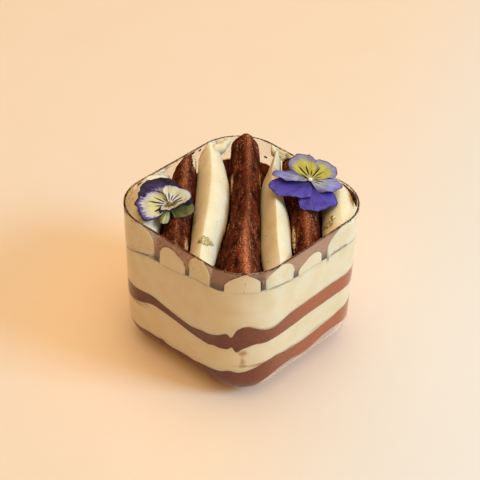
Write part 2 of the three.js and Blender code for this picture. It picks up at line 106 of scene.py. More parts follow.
class Finish:
    """A material, or the room's light, and the short calls that build its node tree."""

    def __init__(self, name, owner=None, place="Object"):
        self.owner = owner or bpy.data.materials.new(name)
        self.owner.use_nodes = True
        self.tree = self.owner.node_tree
        self.tree.nodes.clear()
        self.place = self.node("ShaderNodeTexCoord", {}, {}, place)

    def node(self, kind, settings, values, output=0):
        """Adds a node: settings are set first, then each value is linked or set on its socket."""
        made = self.tree.nodes.new(kind)
        for key, value in settings.items():
            setattr(made, key, value)
        for key, value in values.items():
            if isinstance(value, Wire):
                self.tree.links.new(value.socket, made.inputs[key])
            else:
                made.inputs[key].default_value = value
        return None if output is None else Wire(self, made.outputs[output])

    def math(self, operation, *values):
        return self.node("ShaderNodeMath", {"operation": operation}, dict(enumerate(values)))

    def mix(self, share, first, second):
        """Blends two colours. The share of the second is a number or a wire."""
        first, second = (c if isinstance(c, Wire) else (*c, 1) for c in (first, second))
        return self.node("ShaderNodeMix", {"data_type": "RGBA"}, {0: share, 6: first, 7: second}, 2)

    def noise(self, size, detail=3, place=None):
        """Smooth noise of about 0.3 to 0.7 whose lumps are size millimetres across."""
        values = {"Vector": place or self.place, "Scale": 1 / (size * MM), "Detail": detail}
        return self.node("ShaderNodeTexNoise", {}, values)

    def step(self, value, low, high):
        """0 below low, 1 above high and a smooth rise between them."""
        return self.node("ShaderNodeMapRange", {"interpolation_type": "SMOOTHSTEP"},
                         {0: value, 1: low, 2: high})

    def measure(self, operation, *vectors):
        """A number from vectors, such as a dot product or a length."""
        return self.node("ShaderNodeVectorMath", {"operation": operation}, dict(enumerate(vectors)), "Value")

    def mask(self, name):
        """A number stored at each point of the mesh."""
        return self.node("ShaderNodeAttribute", {"attribute_name": name}, {}, "Fac")

    def bump(self, height, depth):
        """A normal from a height of 0 to 1 that stands depth millimetres proud."""
        return self.node("ShaderNodeBump", {}, {"Height": height, "Distance": depth * MM}, "Normal")

    def surface(self, **sockets):
        """A Principled shader. A socket's words are joined by underscores here."""
        values = {key.replace("_", " "): value for key, value in sockets.items()}
        if isinstance(values["Base Color"], tuple):
            values["Base Color"] = (*values["Base Color"], 1)
        return self.node("ShaderNodeBsdfPrincipled", {}, values)

    def close(self, shader, kind="Material"):
        """Ends the tree with its output and returns what it belongs to."""
        self.node("ShaderNodeOutput" + kind, {}, {"Surface": shader}, None)
        return self.owner


# %% [markdown]
# ## The stage
# Food like this is photographed on coloured paper under one soft lamp. The paper is a warm apricot and
# throws its own colour back into every shadow. So the fill light, which is the room itself, is made warm
# and brightest overhead. The lamp is cool, and where both fall on the cup they add up to nearly white. The
# lamp stands on the side of the right wall, where the room is brighter; there the lamp's cool light is also
# painted into the paper, which turns a little cooler. The room is darker towards the front left, which
# keeps the left wall in shade. There a faint glow on the paper round the cup stands in for the light that
# comes through the cream.

# %% Floor and lights
FLOOR_SIZE = 6.0
PAPER = (0.88, 0.72, 0.58)
PAPER_DEEP = (0.86, 0.69, 0.54)
# The paper's colour where the lamp's cool light is painted into it
PAPER_LAMP_TINT = (0.80, 0.73, 0.67)
LAMP_SIDE = (0.88, 0.46, 0.0)
# Distances in metres: along the lamp's side from warm paper to its painted cool tint, from the cup's middle
# to the glow's end, and along the lamp's side again to where the glow ends
LAMP_TINT_FADE = (0.0, 0.1)
GLOW_FADE = (0.052, 0.115)
GLOW_SIDE_FADE = (-0.02, 0.07)
GLOW = (0.15, 0.064, 0.014)
LAMP_COLOUR = (0.27, 0.67, 1.02)
LAMP_POWER = 8.0
LAMP_TURN = math.radians(25)
LAMP_HEIGHT = math.radians(37)
LAMP_DISTANCE = 1.1
LAMP_SIZE = 0.34
OVERHEAD = (2.30, 1.75, 1.13)
OVERHEAD_DIM = (0.70, 0.46, 0.18)
AROUND = (0.41, 0.345, 0.235)
RIGHT = (0.66, 0.53, 0.37)
FRONT_LEFT = (0.045, 0.022, 0.005)
OVERHEAD_POWER = 2.4
DARK_SIDE = (-0.35, -0.94, 0.0)
DARK_FADE = (-0.15, 0.7)
RIGHT_FADE = (0.1, 0.9)


def make_floor():
    half = FLOOR_SIZE / 2
    mesh = bpy.data.meshes.new("paper_floor")
    corners = [(-half, -half, 0), (half, -half, 0), (half, half, 0), (-half, half, 0)]
    mesh.from_pydata(corners, [], [(0, 1, 2, 3)])
    paper = Finish("paper")
    tone = paper.mix(paper.noise(25), PAPER, PAPER_DEEP)
    across = paper.measure("DOT_PRODUCT", paper.place, LAMP_SIDE)
    # Painted lamp light: towards the lamp's side the paper turns cooler
    tone = paper.mix(paper.step(across, *LAMP_TINT_FADE), tone, PAPER_LAMP_TINT)
    away = paper.measure("LENGTH", paper.place)
    near = (1 - paper.step(away, *GLOW_FADE)) * (1 - paper.step(across, *GLOW_SIDE_FADE))
    grain = paper.bump(paper.noise(0.6), 0.02)
    mesh.materials.append(paper.close(paper.surface(
        Base_Color=tone, Roughness=0.9, Normal=grain, Specular_IOR_Level=0.1,
        Emission_Color=paper.mix(near, (0, 0, 0), GLOW), Emission_Strength=1.0)))
    floor = bpy.data.objects.new("paper_floor", mesh)
    bpy.context.scene.collection.objects.link(floor)


def make_lamp():
    lamp_data = bpy.data.lights.new("soft_lamp", "AREA")
    lamp_data.size = LAMP_SIZE
    lamp_data.energy = LAMP_POWER
    lamp_data.color = LAMP_COLOUR
    lamp = bpy.data.objects.new("soft_lamp", lamp_data)
    level = math.cos(LAMP_HEIGHT)
    towards = Vector((level * math.cos(LAMP_TURN), level * math.sin(LAMP_TURN), math.sin(LAMP_HEIGHT)))
    turned = towards.to_track_quat("Z", "Y").to_matrix().to_4x4()
    lamp.matrix_world = Matrix.Translation(towards * LAMP_DISTANCE) @ turned
    bpy.context.scene.collection.objects.link(lamp)


def make_room():
    """Light from every direction: its colour goes from the horizon's to the one overhead with the height
    of the direction. It is brighter towards the right and fades towards the dark side."""
    room = Finish("", bpy.data.worlds.new("warm_room"), "Generated")
    right, height = (room.node("ShaderNodeSeparateXYZ", {}, {0: room.place}, axis) for axis in "XZ")
    dark = room.step(room.measure("DOT_PRODUCT", room.place, DARK_SIDE), *DARK_FADE)
    low = room.mix(room.step(right, *RIGHT_FADE), AROUND, RIGHT)
    low = room.mix(dark, low, FRONT_LEFT)
    high = room.mix(dark, OVERHEAD, OVERHEAD_DIM)
    share = room.math("POWER", room.math("MAXIMUM", height, 0.0), OVERHEAD_POWER)
    tone = room.mix(share, low, high)
    bpy.context.scene.world = room.close(room.node("ShaderNodeBackground", {}, {"Color": tone}), "World")


make_floor()
make_lamp()
make_room()
print("Stage: floor", FLOOR_SIZE, "m, lamp", LAMP_POWER, "W")

# %% [markdown]
# ## Shapes from arrays
# Every piece below is a grid of points, row after row, that numpy works out at once. The grid is closed
# round each row, and the first and last rows are capped. Doubled points are merged and the faces turned
# outwards, so that each piece is one closed skin. Numbers that a material needs, such as how much cocoa
# lies at a point, are stored beside the points.


# %% Curves, noise and meshes
def blend(first, second, share):
    """Straight mix of two values or arrays."""
    return first + (second - first) * share


def smooth(value, low, high):
    """0 below low, 1 above high, with a smooth rise: t squared times (3 - 2t)."""
    t = np.clip((value - low) / (high - low), 0, 1)
    return t * t * (3 - 2 * t)


def through(values, share, closed=False):
    """Catmull-Rom curve through even control values, read at shares of its length."""
    values = np.asarray(values, float)
    count = len(values)
    place = np.asarray(share, float) * (count if closed else count - 1)
    first = np.floor(place).astype(int)
    first = first if closed else np.clip(first, 0, count - 2)
    t = place - first
    a, b, c, d = (values[(first + i) % count if closed else np.clip(first + i, 0, count - 1)]
                  for i in (-1, 0, 1, 2))
    return b + 0.5 * t * (c - a + t * (2 * a - 5 * b + 4 * c - d + t * (3 * (b - c) + d - a)))


LATTICE_SIDE = 32
LATTICE = np.random.default_rng(11).random((LATTICE_SIDE,) * 3) * 2 - 1


def lumps(points, size, octaves=3):
    """Noise of about -1 to 1: random numbers on a lattice size mm apart, blended smoothly between its
    corners. Each further octave has half the size and half the weight."""
    total = 0
    for octave in range(octaves):
        place = points / size * 2 ** octave + 5.7 * octave
        cell = np.floor(place).astype(int)
        t = place - cell
        t = t * t * (3 - 2 * t)
        for corner in itertools.product((0, 1), repeat=3):
            index = (cell + corner) % LATTICE_SIDE
            share = np.prod(np.where(corner, t, 1 - t), axis=-1)
            total = total + share * LATTICE[index[..., 0], index[..., 1], index[..., 2]] / 2 ** octave
    return total


def grid_faces(rows, columns, wrap):
    """Four-sided faces over a grid of points stored row by row."""
    row, column = np.meshgrid(np.arange(rows - 1), np.arange(columns - (not wrap)), indexing="ij")
    a = row * columns + column
    b = row * columns + (column + 1) % columns
    return np.stack([a, b, b + columns, a + columns], -1).reshape(-1, 4).tolist()


def build(name, points, faces, finish, slot, masks=None, weld=True):
    """Makes a mesh object from points in mm, closes and orients it, and lets it ride on the cup's body."""
    mesh = bpy.data.meshes.new(name)
    mesh.from_pydata((points.reshape(-1, 3) * MM).tolist(), [], faces)
    for key, values in (masks or {}).items():
        layer = mesh.attributes.new(key, "FLOAT", "POINT")
        layer.data.foreach_set("value", np.broadcast_to(values, points.shape[:-1]).ravel())
    if weld:
        shell = bmesh.new()
        shell.from_mesh(mesh)
        bmesh.ops.remove_doubles(shell, verts=shell.verts, dist=0.001 * MM)
        bmesh.ops.recalc_face_normals(shell, faces=shell.faces)
        shell.to_mesh(mesh)
        shell.free()
    mesh.shade_smooth()
    mesh.materials.append(finish)
    piece = bpy.data.objects.new(name, mesh)
    bpy.context.scene.collection.objects.link(piece)
    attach(piece, "root")
    return piece


def closed_skin(rows):
    """Points and faces of a skin over closed rows, with a middle point capping each end."""
    count, columns = rows.shape[:2]
    points = np.concatenate([rows.reshape(-1, 3), rows[:1].mean(1), rows[-1:].mean(1)])
    ring = np.arange(columns)
    after = (ring + 1) % columns
    last = (count - 1) * columns
    first_cap = np.stack([np.full(columns, count * columns), after, ring], -1)
    last_cap = np.stack([np.full(columns, count * columns + 1), last + ring, last + after], -1)
    return points, grid_faces(count, columns, True) + first_cap.tolist() + last_cap.tolist()


def skin_masks(masks, shape):
    """Masks given for each row point, carried on to the two cap points."""
    full = {key: np.broadcast_to(values, shape) for key, values in masks.items()}
    return {key: np.concatenate([v.ravel(), [v[0].mean(), v[-1].mean()]]) for key, v in full.items()}


def there_and_back(values):
    """Values along each row and then back again, for the two sides of a thin shell."""
    return np.concatenate([values, values[:, ::-1]], 1)


def skin_piece(name, node, rows, finish, slot, masks=None):
    """One closed skin over rows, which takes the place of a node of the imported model."""
    points, faces = closed_skin(rows)
    piece = build(name, points, faces, finish, slot, skin_masks(masks or {}, rows.shape[:2]))
    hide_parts(node)
    print(name, len(faces), "faces")


print("Noise lattice:", LATTICE_SIDE, "numbers each way")

# %% [markdown]
# ## The cup
# The cup is moulded in one piece: a rounded square that widens a little towards the rim, a generous round
# at the foot, and a wall under a millimetre thick. A lathe can't make a square, so the wall's profile is
# carried round the rounded square instead, outside first, over the rounded lip and down inside. The
# plastic is clear glass to the camera, and lets the lamp through so that the food is lit. A fiftieth of it
# scatters the light, which gives the pale veil that hangs over the dark sponge on the lit side.

# %% Cup
CUP_HEIGHT = 63
RIM_HALF = 37.5
RIM_CORNER = 19
BASE_HALF = 36.1
BASE_CORNER = 18.5
WALL = 0.9
BOTTOM_ROUND = 12
CORNER_SHARE = 4 / 18
CORNER_STEPS = 14
ROUND_STEPS = 14
LIP_STEPS = 8
PLASTIC = (0.97, 0.95, 0.92)


def outline(turn, z, depth):
    """Rounded square lying depth inside the cup's outside at height z. A turn runs once round,
    anticlockwise from above, from the front corner; each quarter is half an arc, a straight side and
    half an arc."""
    half = blend(BASE_HALF, RIM_HALF, z / CUP_HEIGHT) - depth
    corner = blend(BASE_CORNER, RIM_CORNER, z / CUP_HEIGHT) - depth
    flat = half - corner
    quarter = np.floor(turn * 4)
    t = turn * 4 - quarter
    leaving = np.minimum(t / CORNER_SHARE - 1, 0)
    entering = np.maximum((t - 1) / CORNER_SHARE + 1, 0)
    angle = (leaving + entering) * np.pi / 4
    walk = np.clip((t - CORNER_SHARE) / (1 - 2 * CORNER_SHARE), 0, 1)
    x = flat + corner * np.cos(angle)
    y = flat * (2 * walk - 1) + corner * np.sin(angle)
    c, s = np.cos(quarter * np.pi / 2), np.sin(quarter * np.pi / 2)
    return np.stack([x * c - y * s, x * s + y * c, z + 0 * x], -1)


def inset_at(z, depth):
    """How far in a surface lies at height z when it runs depth inside the cup's rounded bottom edge."""
    radius = BOTTOM_ROUND - depth
    below = np.maximum(BOTTOM_ROUND - z, 0)
    return depth + radius - np.sqrt(np.maximum(radius ** 2 - below ** 2, 0))


def plastic():
    clear = Finish("clear_plastic")
    haze = clear.step(clear.noise(9, detail=4), 0.3, 0.8)
    body = clear.surface(Base_Color=PLASTIC, Roughness=0.015 + 0.03 * haze, IOR=1.46,
                         Transmission_Weight=0.98, Specular_IOR_Level=0.36)
    path = ("Is Shadow Ray", "Is Diffuse Ray")
    through_it = clear.math("MAXIMUM", *(clear.node("ShaderNodeLightPath", {}, {}, k) for k in path))
    open_air = clear.node("ShaderNodeBsdfTransparent", {}, {"Color": (*PLASTIC, 1)})
    return clear.close(clear.node("ShaderNodeMixShader", {}, {0: through_it, 1: body, 2: open_air}))


def make_cup():
    corner = np.linspace(0, CORNER_SHARE, CORNER_STEPS, endpoint=False)
    side = np.linspace(CORNER_SHARE, 1 - CORNER_SHARE, CORNER_STEPS)
    quarter = np.concatenate([corner, side, 1 - corner[:0:-1]])
    turns = np.concatenate([(quarter + i) / 4 for i in range(4)])
    bend = np.linspace(0, np.pi / 2, ROUND_STEPS)
    lip = np.linspace(0, np.pi, LIP_STEPS)
    lip_radius = WALL / 2
    inner = BOTTOM_ROUND - WALL
    heights = np.concatenate([
        BOTTOM_ROUND * (1 - np.cos(bend)),
        CUP_HEIGHT - lip_radius + lip_radius * np.sin(lip),
        (BOTTOM_ROUND - inner * np.cos(bend))[::-1],
    ])
    insets = np.concatenate([
        BOTTOM_ROUND * (1 - np.sin(bend)),
        lip_radius * (1 - np.cos(lip)),
        (WALL + inner * (1 - np.sin(bend)))[::-1],
    ])
    rows = outline(turns[None, :], heights[:, None], insets[:, None])
    skin_piece("clear_cup", "cup", rows, plastic(), "clear_plastic")


make_cup()

# %% [markdown]
# ## Cream, cocoa and sponge
# Whipped cream is dense and slightly see-through: light goes in a millimetre or two and comes out warmer,
# which is what subsurface scattering does. Cocoa is the opposite, a dry powder that drinks light. One
# finish holds both, and a stored number says how much powder lies on the cream; on the plain logs it also
# paints shade in cocoa tones at their feet. The powder ends raggedly, because noise is added to that number
# before it is turned into a mask.

# %% Food finishes
CREAM = (0.87, 0.755, 0.54)
CREAM_WARM = (0.84, 0.69, 0.44)
COFFEE_STAIN = (0.52, 0.29, 0.11)
COCOA_DARK = (0.028, 0.0045, 0.0015)
COCOA = (0.13, 0.021, 0.0055)
# Painted highlight along the crest of a dusted log
COCOA_CREST_HIGHLIGHT = (0.50, 0.14, 0.05)
# Lighter flecks in worn patches, and also the painted highlight along a crest
COCOA_FLECK_AND_HIGHLIGHT = (0.66, 0.25, 0.12)
# Thin cocoa, and the painted shade at the feet of plain logs
COCOA_THIN_AND_SHADE = (0.50, 0.23, 0.085)
SPONGE_DARK = (0.062, 0.006, 0.001)
SPONGE = (0.13, 0.012, 0.0015)
SPONGE_PALE = (0.49, 0.105, 0.014)
# The flecks of powder are drawn out along the logs: turn of their noise and its stretch
FLECK_TURN = (0.25, 0.35, math.radians(-45))
FLECK_STRETCH = (2.3, 1.0, 1.0)
# How far red, green and blue light travel inside the cream, as shares of a depth in metres
CREAM_SPREAD = (1.0, 0.8, 0.55)
CREAM_DEPTH = 0.0034


def cocoa_colour(finish):
    """Powder: mostly one brown with darker patches at random, and lighter flecks in worn patches. Along the
    ridge a highlight is painted, redder and with more flecks. They are drawn out along the logs, so the
    noise is read at a place that is shortened that way."""
    turned = finish.node("ShaderNodeMapping", {"vector_type": "TEXTURE"},
                         {0: finish.place, "Rotation": FLECK_TURN, "Scale": FLECK_STRETCH})
    broad = finish.step(finish.noise(2.6, detail=4, place=turned), 0.38, 0.62)
    wear_and_highlight = finish.step(finish.noise(3.0, detail=2, place=turned), 0.46, 0.6)
    # Along the crest a painted highlight joins the worn patches
    wear_and_highlight = finish.math("MAXIMUM", wear_and_highlight * 0.7, finish.mask("ridge"))
    fleck = finish.noise(0.45, detail=3, place=turned) + finish.mask("ridge") * 0.08
    fleck = finish.step(fleck, 0.5, 0.64)
    base = finish.mix(broad, COCOA_DARK, COCOA)
    # Painted highlight: the crest is redder
    base = finish.mix(finish.mask("ridge") * 0.8, base, COCOA_CREST_HIGHLIGHT)
    return finish.mix(fleck * wear_and_highlight * 0.9, base, COCOA_FLECK_AND_HIGHLIGHT)


def cream_finish(name, weight, shine):
    """Cream with cocoa where the mesh says so. weight is how much light goes into it before it comes
    back, and shine how strongly its surface reflects."""
    finish = Finish(name)
    ragged = finish.noise(0.7, detail=5)
    cloud = finish.step(finish.noise(7, detail=2), 0.35, 0.7)
    cream = finish.mix(cloud, CREAM, CREAM_WARM)
    soak = finish.step(finish.mask("soak") + (ragged - 0.5) * 0.8, 0.1, 1.0)
    cream = finish.mix(soak, cream, COFFEE_STAIN)
    # On a plain log this number also paints shade at its foot
    laid = finish.mask("dust") + (ragged - 0.5) * 1.3
    dust = finish.step(laid, 0.45, 0.6)
    tone = finish.mix(finish.step(laid, 0.25, 0.5) * 0.8, cream, COCOA_THIN_AND_SHADE)
    tone = finish.mix(dust, tone, cocoa_colour(finish))
    grain = finish.noise(0.3, detail=3)
    height = finish.noise(2.5, detail=3) * (1 - dust) * 0.25 + grain * dust
    return finish.close(finish.surface(
        Base_Color=tone, Roughness=0.48 + 0.45 * dust, Normal=finish.bump(height, 0.28),
        Subsurface_Weight=weight, Subsurface_Radius=CREAM_SPREAD, Subsurface_Scale=CREAM_DEPTH,
        Specular_IOR_Level=shine))


def sponge_finish():
    """Soaked sponge: a dark crumb full of small pores, with lighter crumbs and a wet sheen. Where the mesh
    says so it is paler."""
    finish = Finish("coffee_sponge")
    pores = finish.node("ShaderNodeTexVoronoi", {}, {"Vector": finish.place, "Scale": 1 / (1.1 * MM)})
    pores = finish.step(pores, 0.15, 0.55)
    crumb = finish.step(finish.noise(0.8, detail=4), 0.5, 0.72)
    broad = finish.step(finish.noise(5, detail=3), 0.35, 0.65)
    tone = finish.mix(pores * 0.5 + broad * 0.5, SPONGE_DARK, SPONGE)
    tone = finish.mix(crumb * 0.25 + finish.mask("paleness") * 0.75, tone, SPONGE_PALE)
    return finish.close(finish.surface(
        Base_Color=tone, Roughness=0.6 + 0.2 * pores, Normal=finish.bump(pores + crumb * 0.5, 0.12),
        Specular_IOR_Level=0.1))


CREAM_FINISH = cream_finish("whipped_cream", 0.6, 0.16)
DUSTED_FINISH = cream_finish("cream_under_cocoa", 0.05, 0.08)
SPONGE_FINISH = sponge_finish()
print("Finishes:", CREAM_FINISH.name, DUSTED_FINISH.name, SPONGE_FINISH.name)

# %% [markdown]
# ## The layers
# Through the clear wall each layer shows as a wavy band. The heights of the three boundaries are given at
# 24 even places round the cup, a smooth curve runs through them, and fine lumps are added so that no edge
# is drawn with a ruler. Neighbouring layers share one boundary, so nothing shows between them. The food
# reaches a hair's breadth into the wall, because cream that is pressed on plastic leaves no air there.

# %% Layers
INTO_WALL = 0.15
FOOD_DEPTH = WALL - INTO_WALL
ROUND_COUNT = 560
QUARTER_LENGTH = 65
BAND_SHARES = [*np.linspace(0, 1, 19)[:-1], 0.985, 1]
TOP_REACHES = np.linspace(0.97, 0.06, 26)
INNER_REACHES = (0.35, 0.7)
# Fine lumps of a boundary at the wall: height and size in mm, and the circle they are read on
EDGE_LUMPS = 0.22
EDGE_LUMP_SIZE = 5
LUMP_CIRCLE = 41
LOWER_SPONGE_TOP = [
    14.2, 18.0, 17.1, 16.9, 18.0, 19.6, 20.6, 20, 18.5, 17, 16, 16.5,
    17, 16, 14.5, 13, 12.5, 11.5, 10.6, 10.4, 10.7, 10.8, 11.7, 12.9,
]
UPPER_SPONGE_BOTTOM = [
    26.4, 27.9, 28.2, 29.0, 29.1, 29.2, 28.0, 28, 28, 28, 27.5, 27,
    27.5, 27, 26, 25, 24, 22.5, 21.6, 22.9, 26.0, 25.3, 24.1, 24.4,
]
UPPER_SPONGE_TOP = [
    36.2, 33.8, 35.5, 35.9, 36.2, 36.1, 36, 35, 34, 33.5, 34, 34.5,
    35, 34, 32.5, 31, 30.5, 29.5, 28.8, 29.4, 30.3, 28.2, 27.8, 30.5,
]
CREAM_TOP = [
    53.5, 53.9, 51.8, 51.7, 51.3, 50.9, 49.6, 50, 51, 52, 52.5, 53,
    53, 52.5, 51.5, 50.5, 49.5, 48, 46.8, 48.1, 49.2, 49.7, 52.0, 52.8,
]
# How high the lower sponge's edge hangs above the floor. From FULL_LIFT mm on, a straight slope over the
# first SLOPE_SHARE of its rows leads up to it
LOWER_SPONGE_LIFT = [
    2.0, 8.6, 10.4, 9.0, 11.4, 11.2, 9.0, 6, 3, 1, 0, 0,
    0, 0, 0, 0, 0, 0, 0, 0, 0, 0, 0, 0,
]
FULL_LIFT = 4
SLOPE_SHARE = 0.6
LOWEST_ROWS = 26
# How pale the sponge is at 8 even places round the cup: palest on its right and back, darkest on its front
# left side
SPONGE_PALENESS = [0.2, 0.9, 1.0, 0.7, 0.5, 0.4, 0.1, 0.05]
# Small bumps on the boundaries: turn, height and half width, in mm along the wall
LOWER_BUMPS = [(0.848, 0.9, 1.4), (0.98, 1.0, 2.6), (0.055, 0.6, 2.4), (0.915, -0.4, 3)]
UPPER_BUMPS = [(0.9905, -1.6, 1.6), (0.9835, 1.5, 1.0), (0.0175, 0.9, 3.0), (0.955, 0.7, 2.2)]
UPPER_TOP_BUMPS = [(0.9825, -2.8, 1.3), (0.0065, 0.9, 3.0), (0.93, 0.5, 2.5)]
# Coffee that has seeped into the cream at the wall: turn, height, half width and half height in mm,
# and strength
STAINS = [
    (0.07, 17.6, 11, 0.5, 0.9), (0.15, 18.6, 9, 0.45, 0.8), (0.03, 17.4, 4, 0.7, 0.8),
    (0.0, 24.0, 2.2, 1.3, 0.9), (0.0, 19.6, 1.1, 2.6, 0.8), (0.004, 17.2, 6, 0.6, 0.6),
    (0.915, 19.2, 3, 0.8, 0.4), (0.79, 22.2, 7, 0.9, 0.9), (0.815, 24.0, 4, 0.8, 0.6),
    (0.106, 56.0, 1.7, 1.7, 0.75),
]
print("Boundaries: 3, each with", len(CREAM_TOP), "heights round the cup")

# %% [markdown]
# ## Making a layer
# A layer is one closed skin: rings across its underside, a band up the wall and rings across its top. The
# lowest sponge differs, because it follows the round foot of the cup or hangs above it.

# %% Layer meshes
def boundary(heights, bumps=(), seed=0.0):
    """Height of a boundary at a turn and a reach, 0 in the middle and 1 at the wall: the mean in the
    middle, blending with the square of the reach to the wall's curve with its bumps and lumps."""
    mean = sum(heights) / len(heights)

    def height(turn, reach):
        circle = np.stack([np.cos(2 * np.pi * turn), np.sin(2 * np.pi * turn), 0 * turn], -1)
        lumpy = lumps(circle * LUMP_CIRCLE + seed, EDGE_LUMP_SIZE)
        at_wall = through(heights, turn, True) + EDGE_LUMPS * lumpy
        for centre, rise, width in bumps:
            away = (turn - centre + 0.5) % 1 - 0.5
            at_wall = at_wall + rise * np.exp(-(away * 4 * QUARTER_LENGTH / width) ** 2)
        return blend(mean, at_wall, np.asarray(reach) ** 2)

    return height


sponge_line = boundary(LOWER_SPONGE_TOP, LOWER_BUMPS, 3.1)
upper_line = boundary(UPPER_SPONGE_BOTTOM, UPPER_BUMPS, 17.3)
sponge_top_line = boundary(UPPER_SPONGE_TOP, UPPER_TOP_BUMPS, 31.7)
cream_line = boundary(CREAM_TOP)
TURNS = np.arange(ROUND_COUNT) / ROUND_COUNT


def disc_row(surface, reach):
    """A row inside a boundary: the wall's outline drawn in to a reach."""
    z = surface(TURNS, 1.0)
    row = outline(TURNS, z, inset_at(z, FOOD_DEPTH)) * [reach, reach, 1]
    row[:, 2] = surface(TURNS, reach)
    return row


def wall_row(lower, upper, share):
    z = blend(lower(TURNS, 1.0), upper(TURNS, 1.0), share)
    return outline(TURNS, z, inset_at(z, FOOD_DEPTH))


def stain_mask(rows):
    """Sum of soft oval spots at the wall, each falling off as a bell curve."""
    soak = np.zeros(rows.shape[:2])
    for turn, z, width, height, strength in STAINS:
        away = ((TURNS - turn + 0.5) % 1 - 0.5) * 4 * QUARTER_LENGTH / width
        soak += strength * np.exp(-away[None, :] ** 2 - ((rows[..., 2] - z) / height) ** 2)
    return soak


def make_layer(name, node, lower, upper, finish, slot, dusty=False):
    """A band at the wall between two boundaries, and the two discs that close it."""
    bottom = [disc_row(lower, reach) for reach in INNER_REACHES]
    band = [wall_row(lower, upper, share) for share in BAND_SHARES]
    rows = np.stack(bottom + band + [disc_row(upper, reach) for reach in TOP_REACHES])
    dust = np.zeros(rows.shape[:2])
    dust[len(bottom) + len(band):] = dusty
    masks = {"dust": dust, "soak": stain_mask(rows), "paleness": through(SPONGE_PALENESS, TURNS, True)}
    skin_piece(name, node, rows, finish, slot, masks)


def make_lowest_sponge():
    """The lower sponge follows the cup's rounded bottom edge, or bridges it in a straight slope where its
    edge hangs above the floor."""
    flat_inset = inset_at(FOOD_DEPTH, FOOD_DEPTH)
    lift = np.maximum(through(LOWER_SPONGE_LIFT, TURNS, True), 0)
    top = sponge_line(TURNS, 1.0)
    rows = []
    for share in np.linspace(0, 1, LOWEST_ROWS):
        filled_z = blend(FOOD_DEPTH, top, share ** 2)
        filled = outline(TURNS, filled_z, inset_at(filled_z, FOOD_DEPTH))
        slope = min(share / SLOPE_SHARE, 1)
        band = max(share - SLOPE_SHARE, 0) / (1 - SLOPE_SHARE)
        hung_z = blend(FOOD_DEPTH + lift * slope, top, band)
        hung_inset = np.maximum(blend(flat_inset, FOOD_DEPTH, slope), inset_at(hung_z, FOOD_DEPTH))
        hung = outline(TURNS, hung_z, hung_inset)
        rows.append(blend(filled, hung, smooth(lift, 0, FULL_LIFT)[:, None]))
    rows = np.stack(rows + [disc_row(sponge_line, reach) for reach in reversed(INNER_REACHES)])
    skin_piece("soaked_sponge_lower", "sponge_lower", rows, SPONGE_FINISH, "coffee_sponge",
               {"paleness": through(SPONGE_PALENESS, TURNS, True)})


make_lowest_sponge()
make_layer("cream_band_lower", "cream_lower", sponge_line, upper_line, CREAM_FINISH, "cream")
make_layer("soaked_sponge_upper", "sponge_upper", upper_line, sponge_top_line, SPONGE_FINISH,
           "coffee_sponge")
make_layer("cream_band_upper", "cream_upper", sponge_top_line, cream_line, CREAM_FINISH, "cream", True)

# %% [markdown]
# ## The piped logs
# A piping bag leaves a log with a section like an egg: round on top, tucked in at the foot. Its two edges
# and its crest are curves through five values, because each log bends a little. Where a log reaches the
# cup it is pressed flat on the wall, and through the wall that shows as a pale dome. A Boolean cut would
# give the dome a ragged edge, so each section is cut one by one instead: the angle at which it meets the
# wall is found, and from there down its points follow the wall.

# %% Logs
LOGS = [
    {"name": "cream_log_1", "back": -26, "front": 26, "ridge": 0.2, "lean": 0.1, "dusted": False,
     "left": [-46, -46, -46, -46, -46], "right": [-27.2, -28, -30.2, -31.8, -34.2],
     "crest": [62.4, 63, 63, 62.5, 61.6], "blunt": (0.5, 0.5)},
    {"name": "cocoa_log_2", "back": -36, "front": 36, "ridge": 0.3, "lean": 0.1, "dusted": True,
     "left": [-26.6, -27.6, -29.9, -31.3, -31.2], "right": [-17.2, -17.3, -18.8, -20.3, -21.8],
     "crest": [63, 63, 63, 62.2, 57], "blunt": (1, 0.6)},
    {"name": "cream_log_3", "back": -46, "front": 46, "ridge": 0.35, "lean": -0.1, "dusted": False,
     "left": [-15.8, -16.8, -18.4, -19.9, -20.4], "right": [-7.6, -4.0, -4.9, -9.3, -12.9],
     "crest": [62.8, 63.5, 63.6, 63.2, 62.6], "blunt": (1, 1)},
    {"name": "cocoa_log_4", "back": -48, "front": 48, "ridge": 0.5, "lean": 0.15, "dusted": True,
     "left": [-3.6, -3.9, -5.0, -8.6, -8.0], "right": [8.4, 8.2, 7.2, 6.4, 6.4],
     "crest": [64.6, 64, 63.6, 63.3, 62.2], "blunt": (1, 0)},
    {"name": "cream_log_5", "back": -40, "front": 46, "ridge": 0.6, "lean": 0.05, "dusted": False,
     "left": [14.2, 8.4, 7.2, 6.6, 7.4], "right": [17, 16.3, 18.5, 18.3, 18.6],
     "crest": [62.8, 63, 63.5, 63.2, 62.8], "blunt": (0, 1)},
    {"name": "cocoa_log_6", "back": -36, "front": 36, "ridge": 0.3, "lean": -0.1, "dusted": True,
     "left": [17.4, 17.2, 18.8, 18.9, 20.4], "right": [29.5, 30.4, 30.7, 29.8, 29.3],
     "crest": [62, 62.5, 63, 61.6, 55], "blunt": (1, 0.6)},
    {"name": "cream_log_7", "back": -26, "front": 26, "ridge": 0.2, "lean": -0.1, "dusted": False,
     "left": [30, 31, 31, 30.4, 32.4], "right": [46, 46, 46, 46, 46],
     "crest": [62.4, 63, 63, 62, 61.4], "blunt": (0.5, 0.5)},
]
SECTION_TUCK = math.radians(25)
SECTION_FULLNESS = 0.8
END_FULLNESS = 0.42
END_LENGTH = 14
CORNER_REACH = 8
RIDGE_CUT = 0.45
LUMP_HEIGHT = 0.35
LUMP_LENGTH = 11
SUNK = 0.25
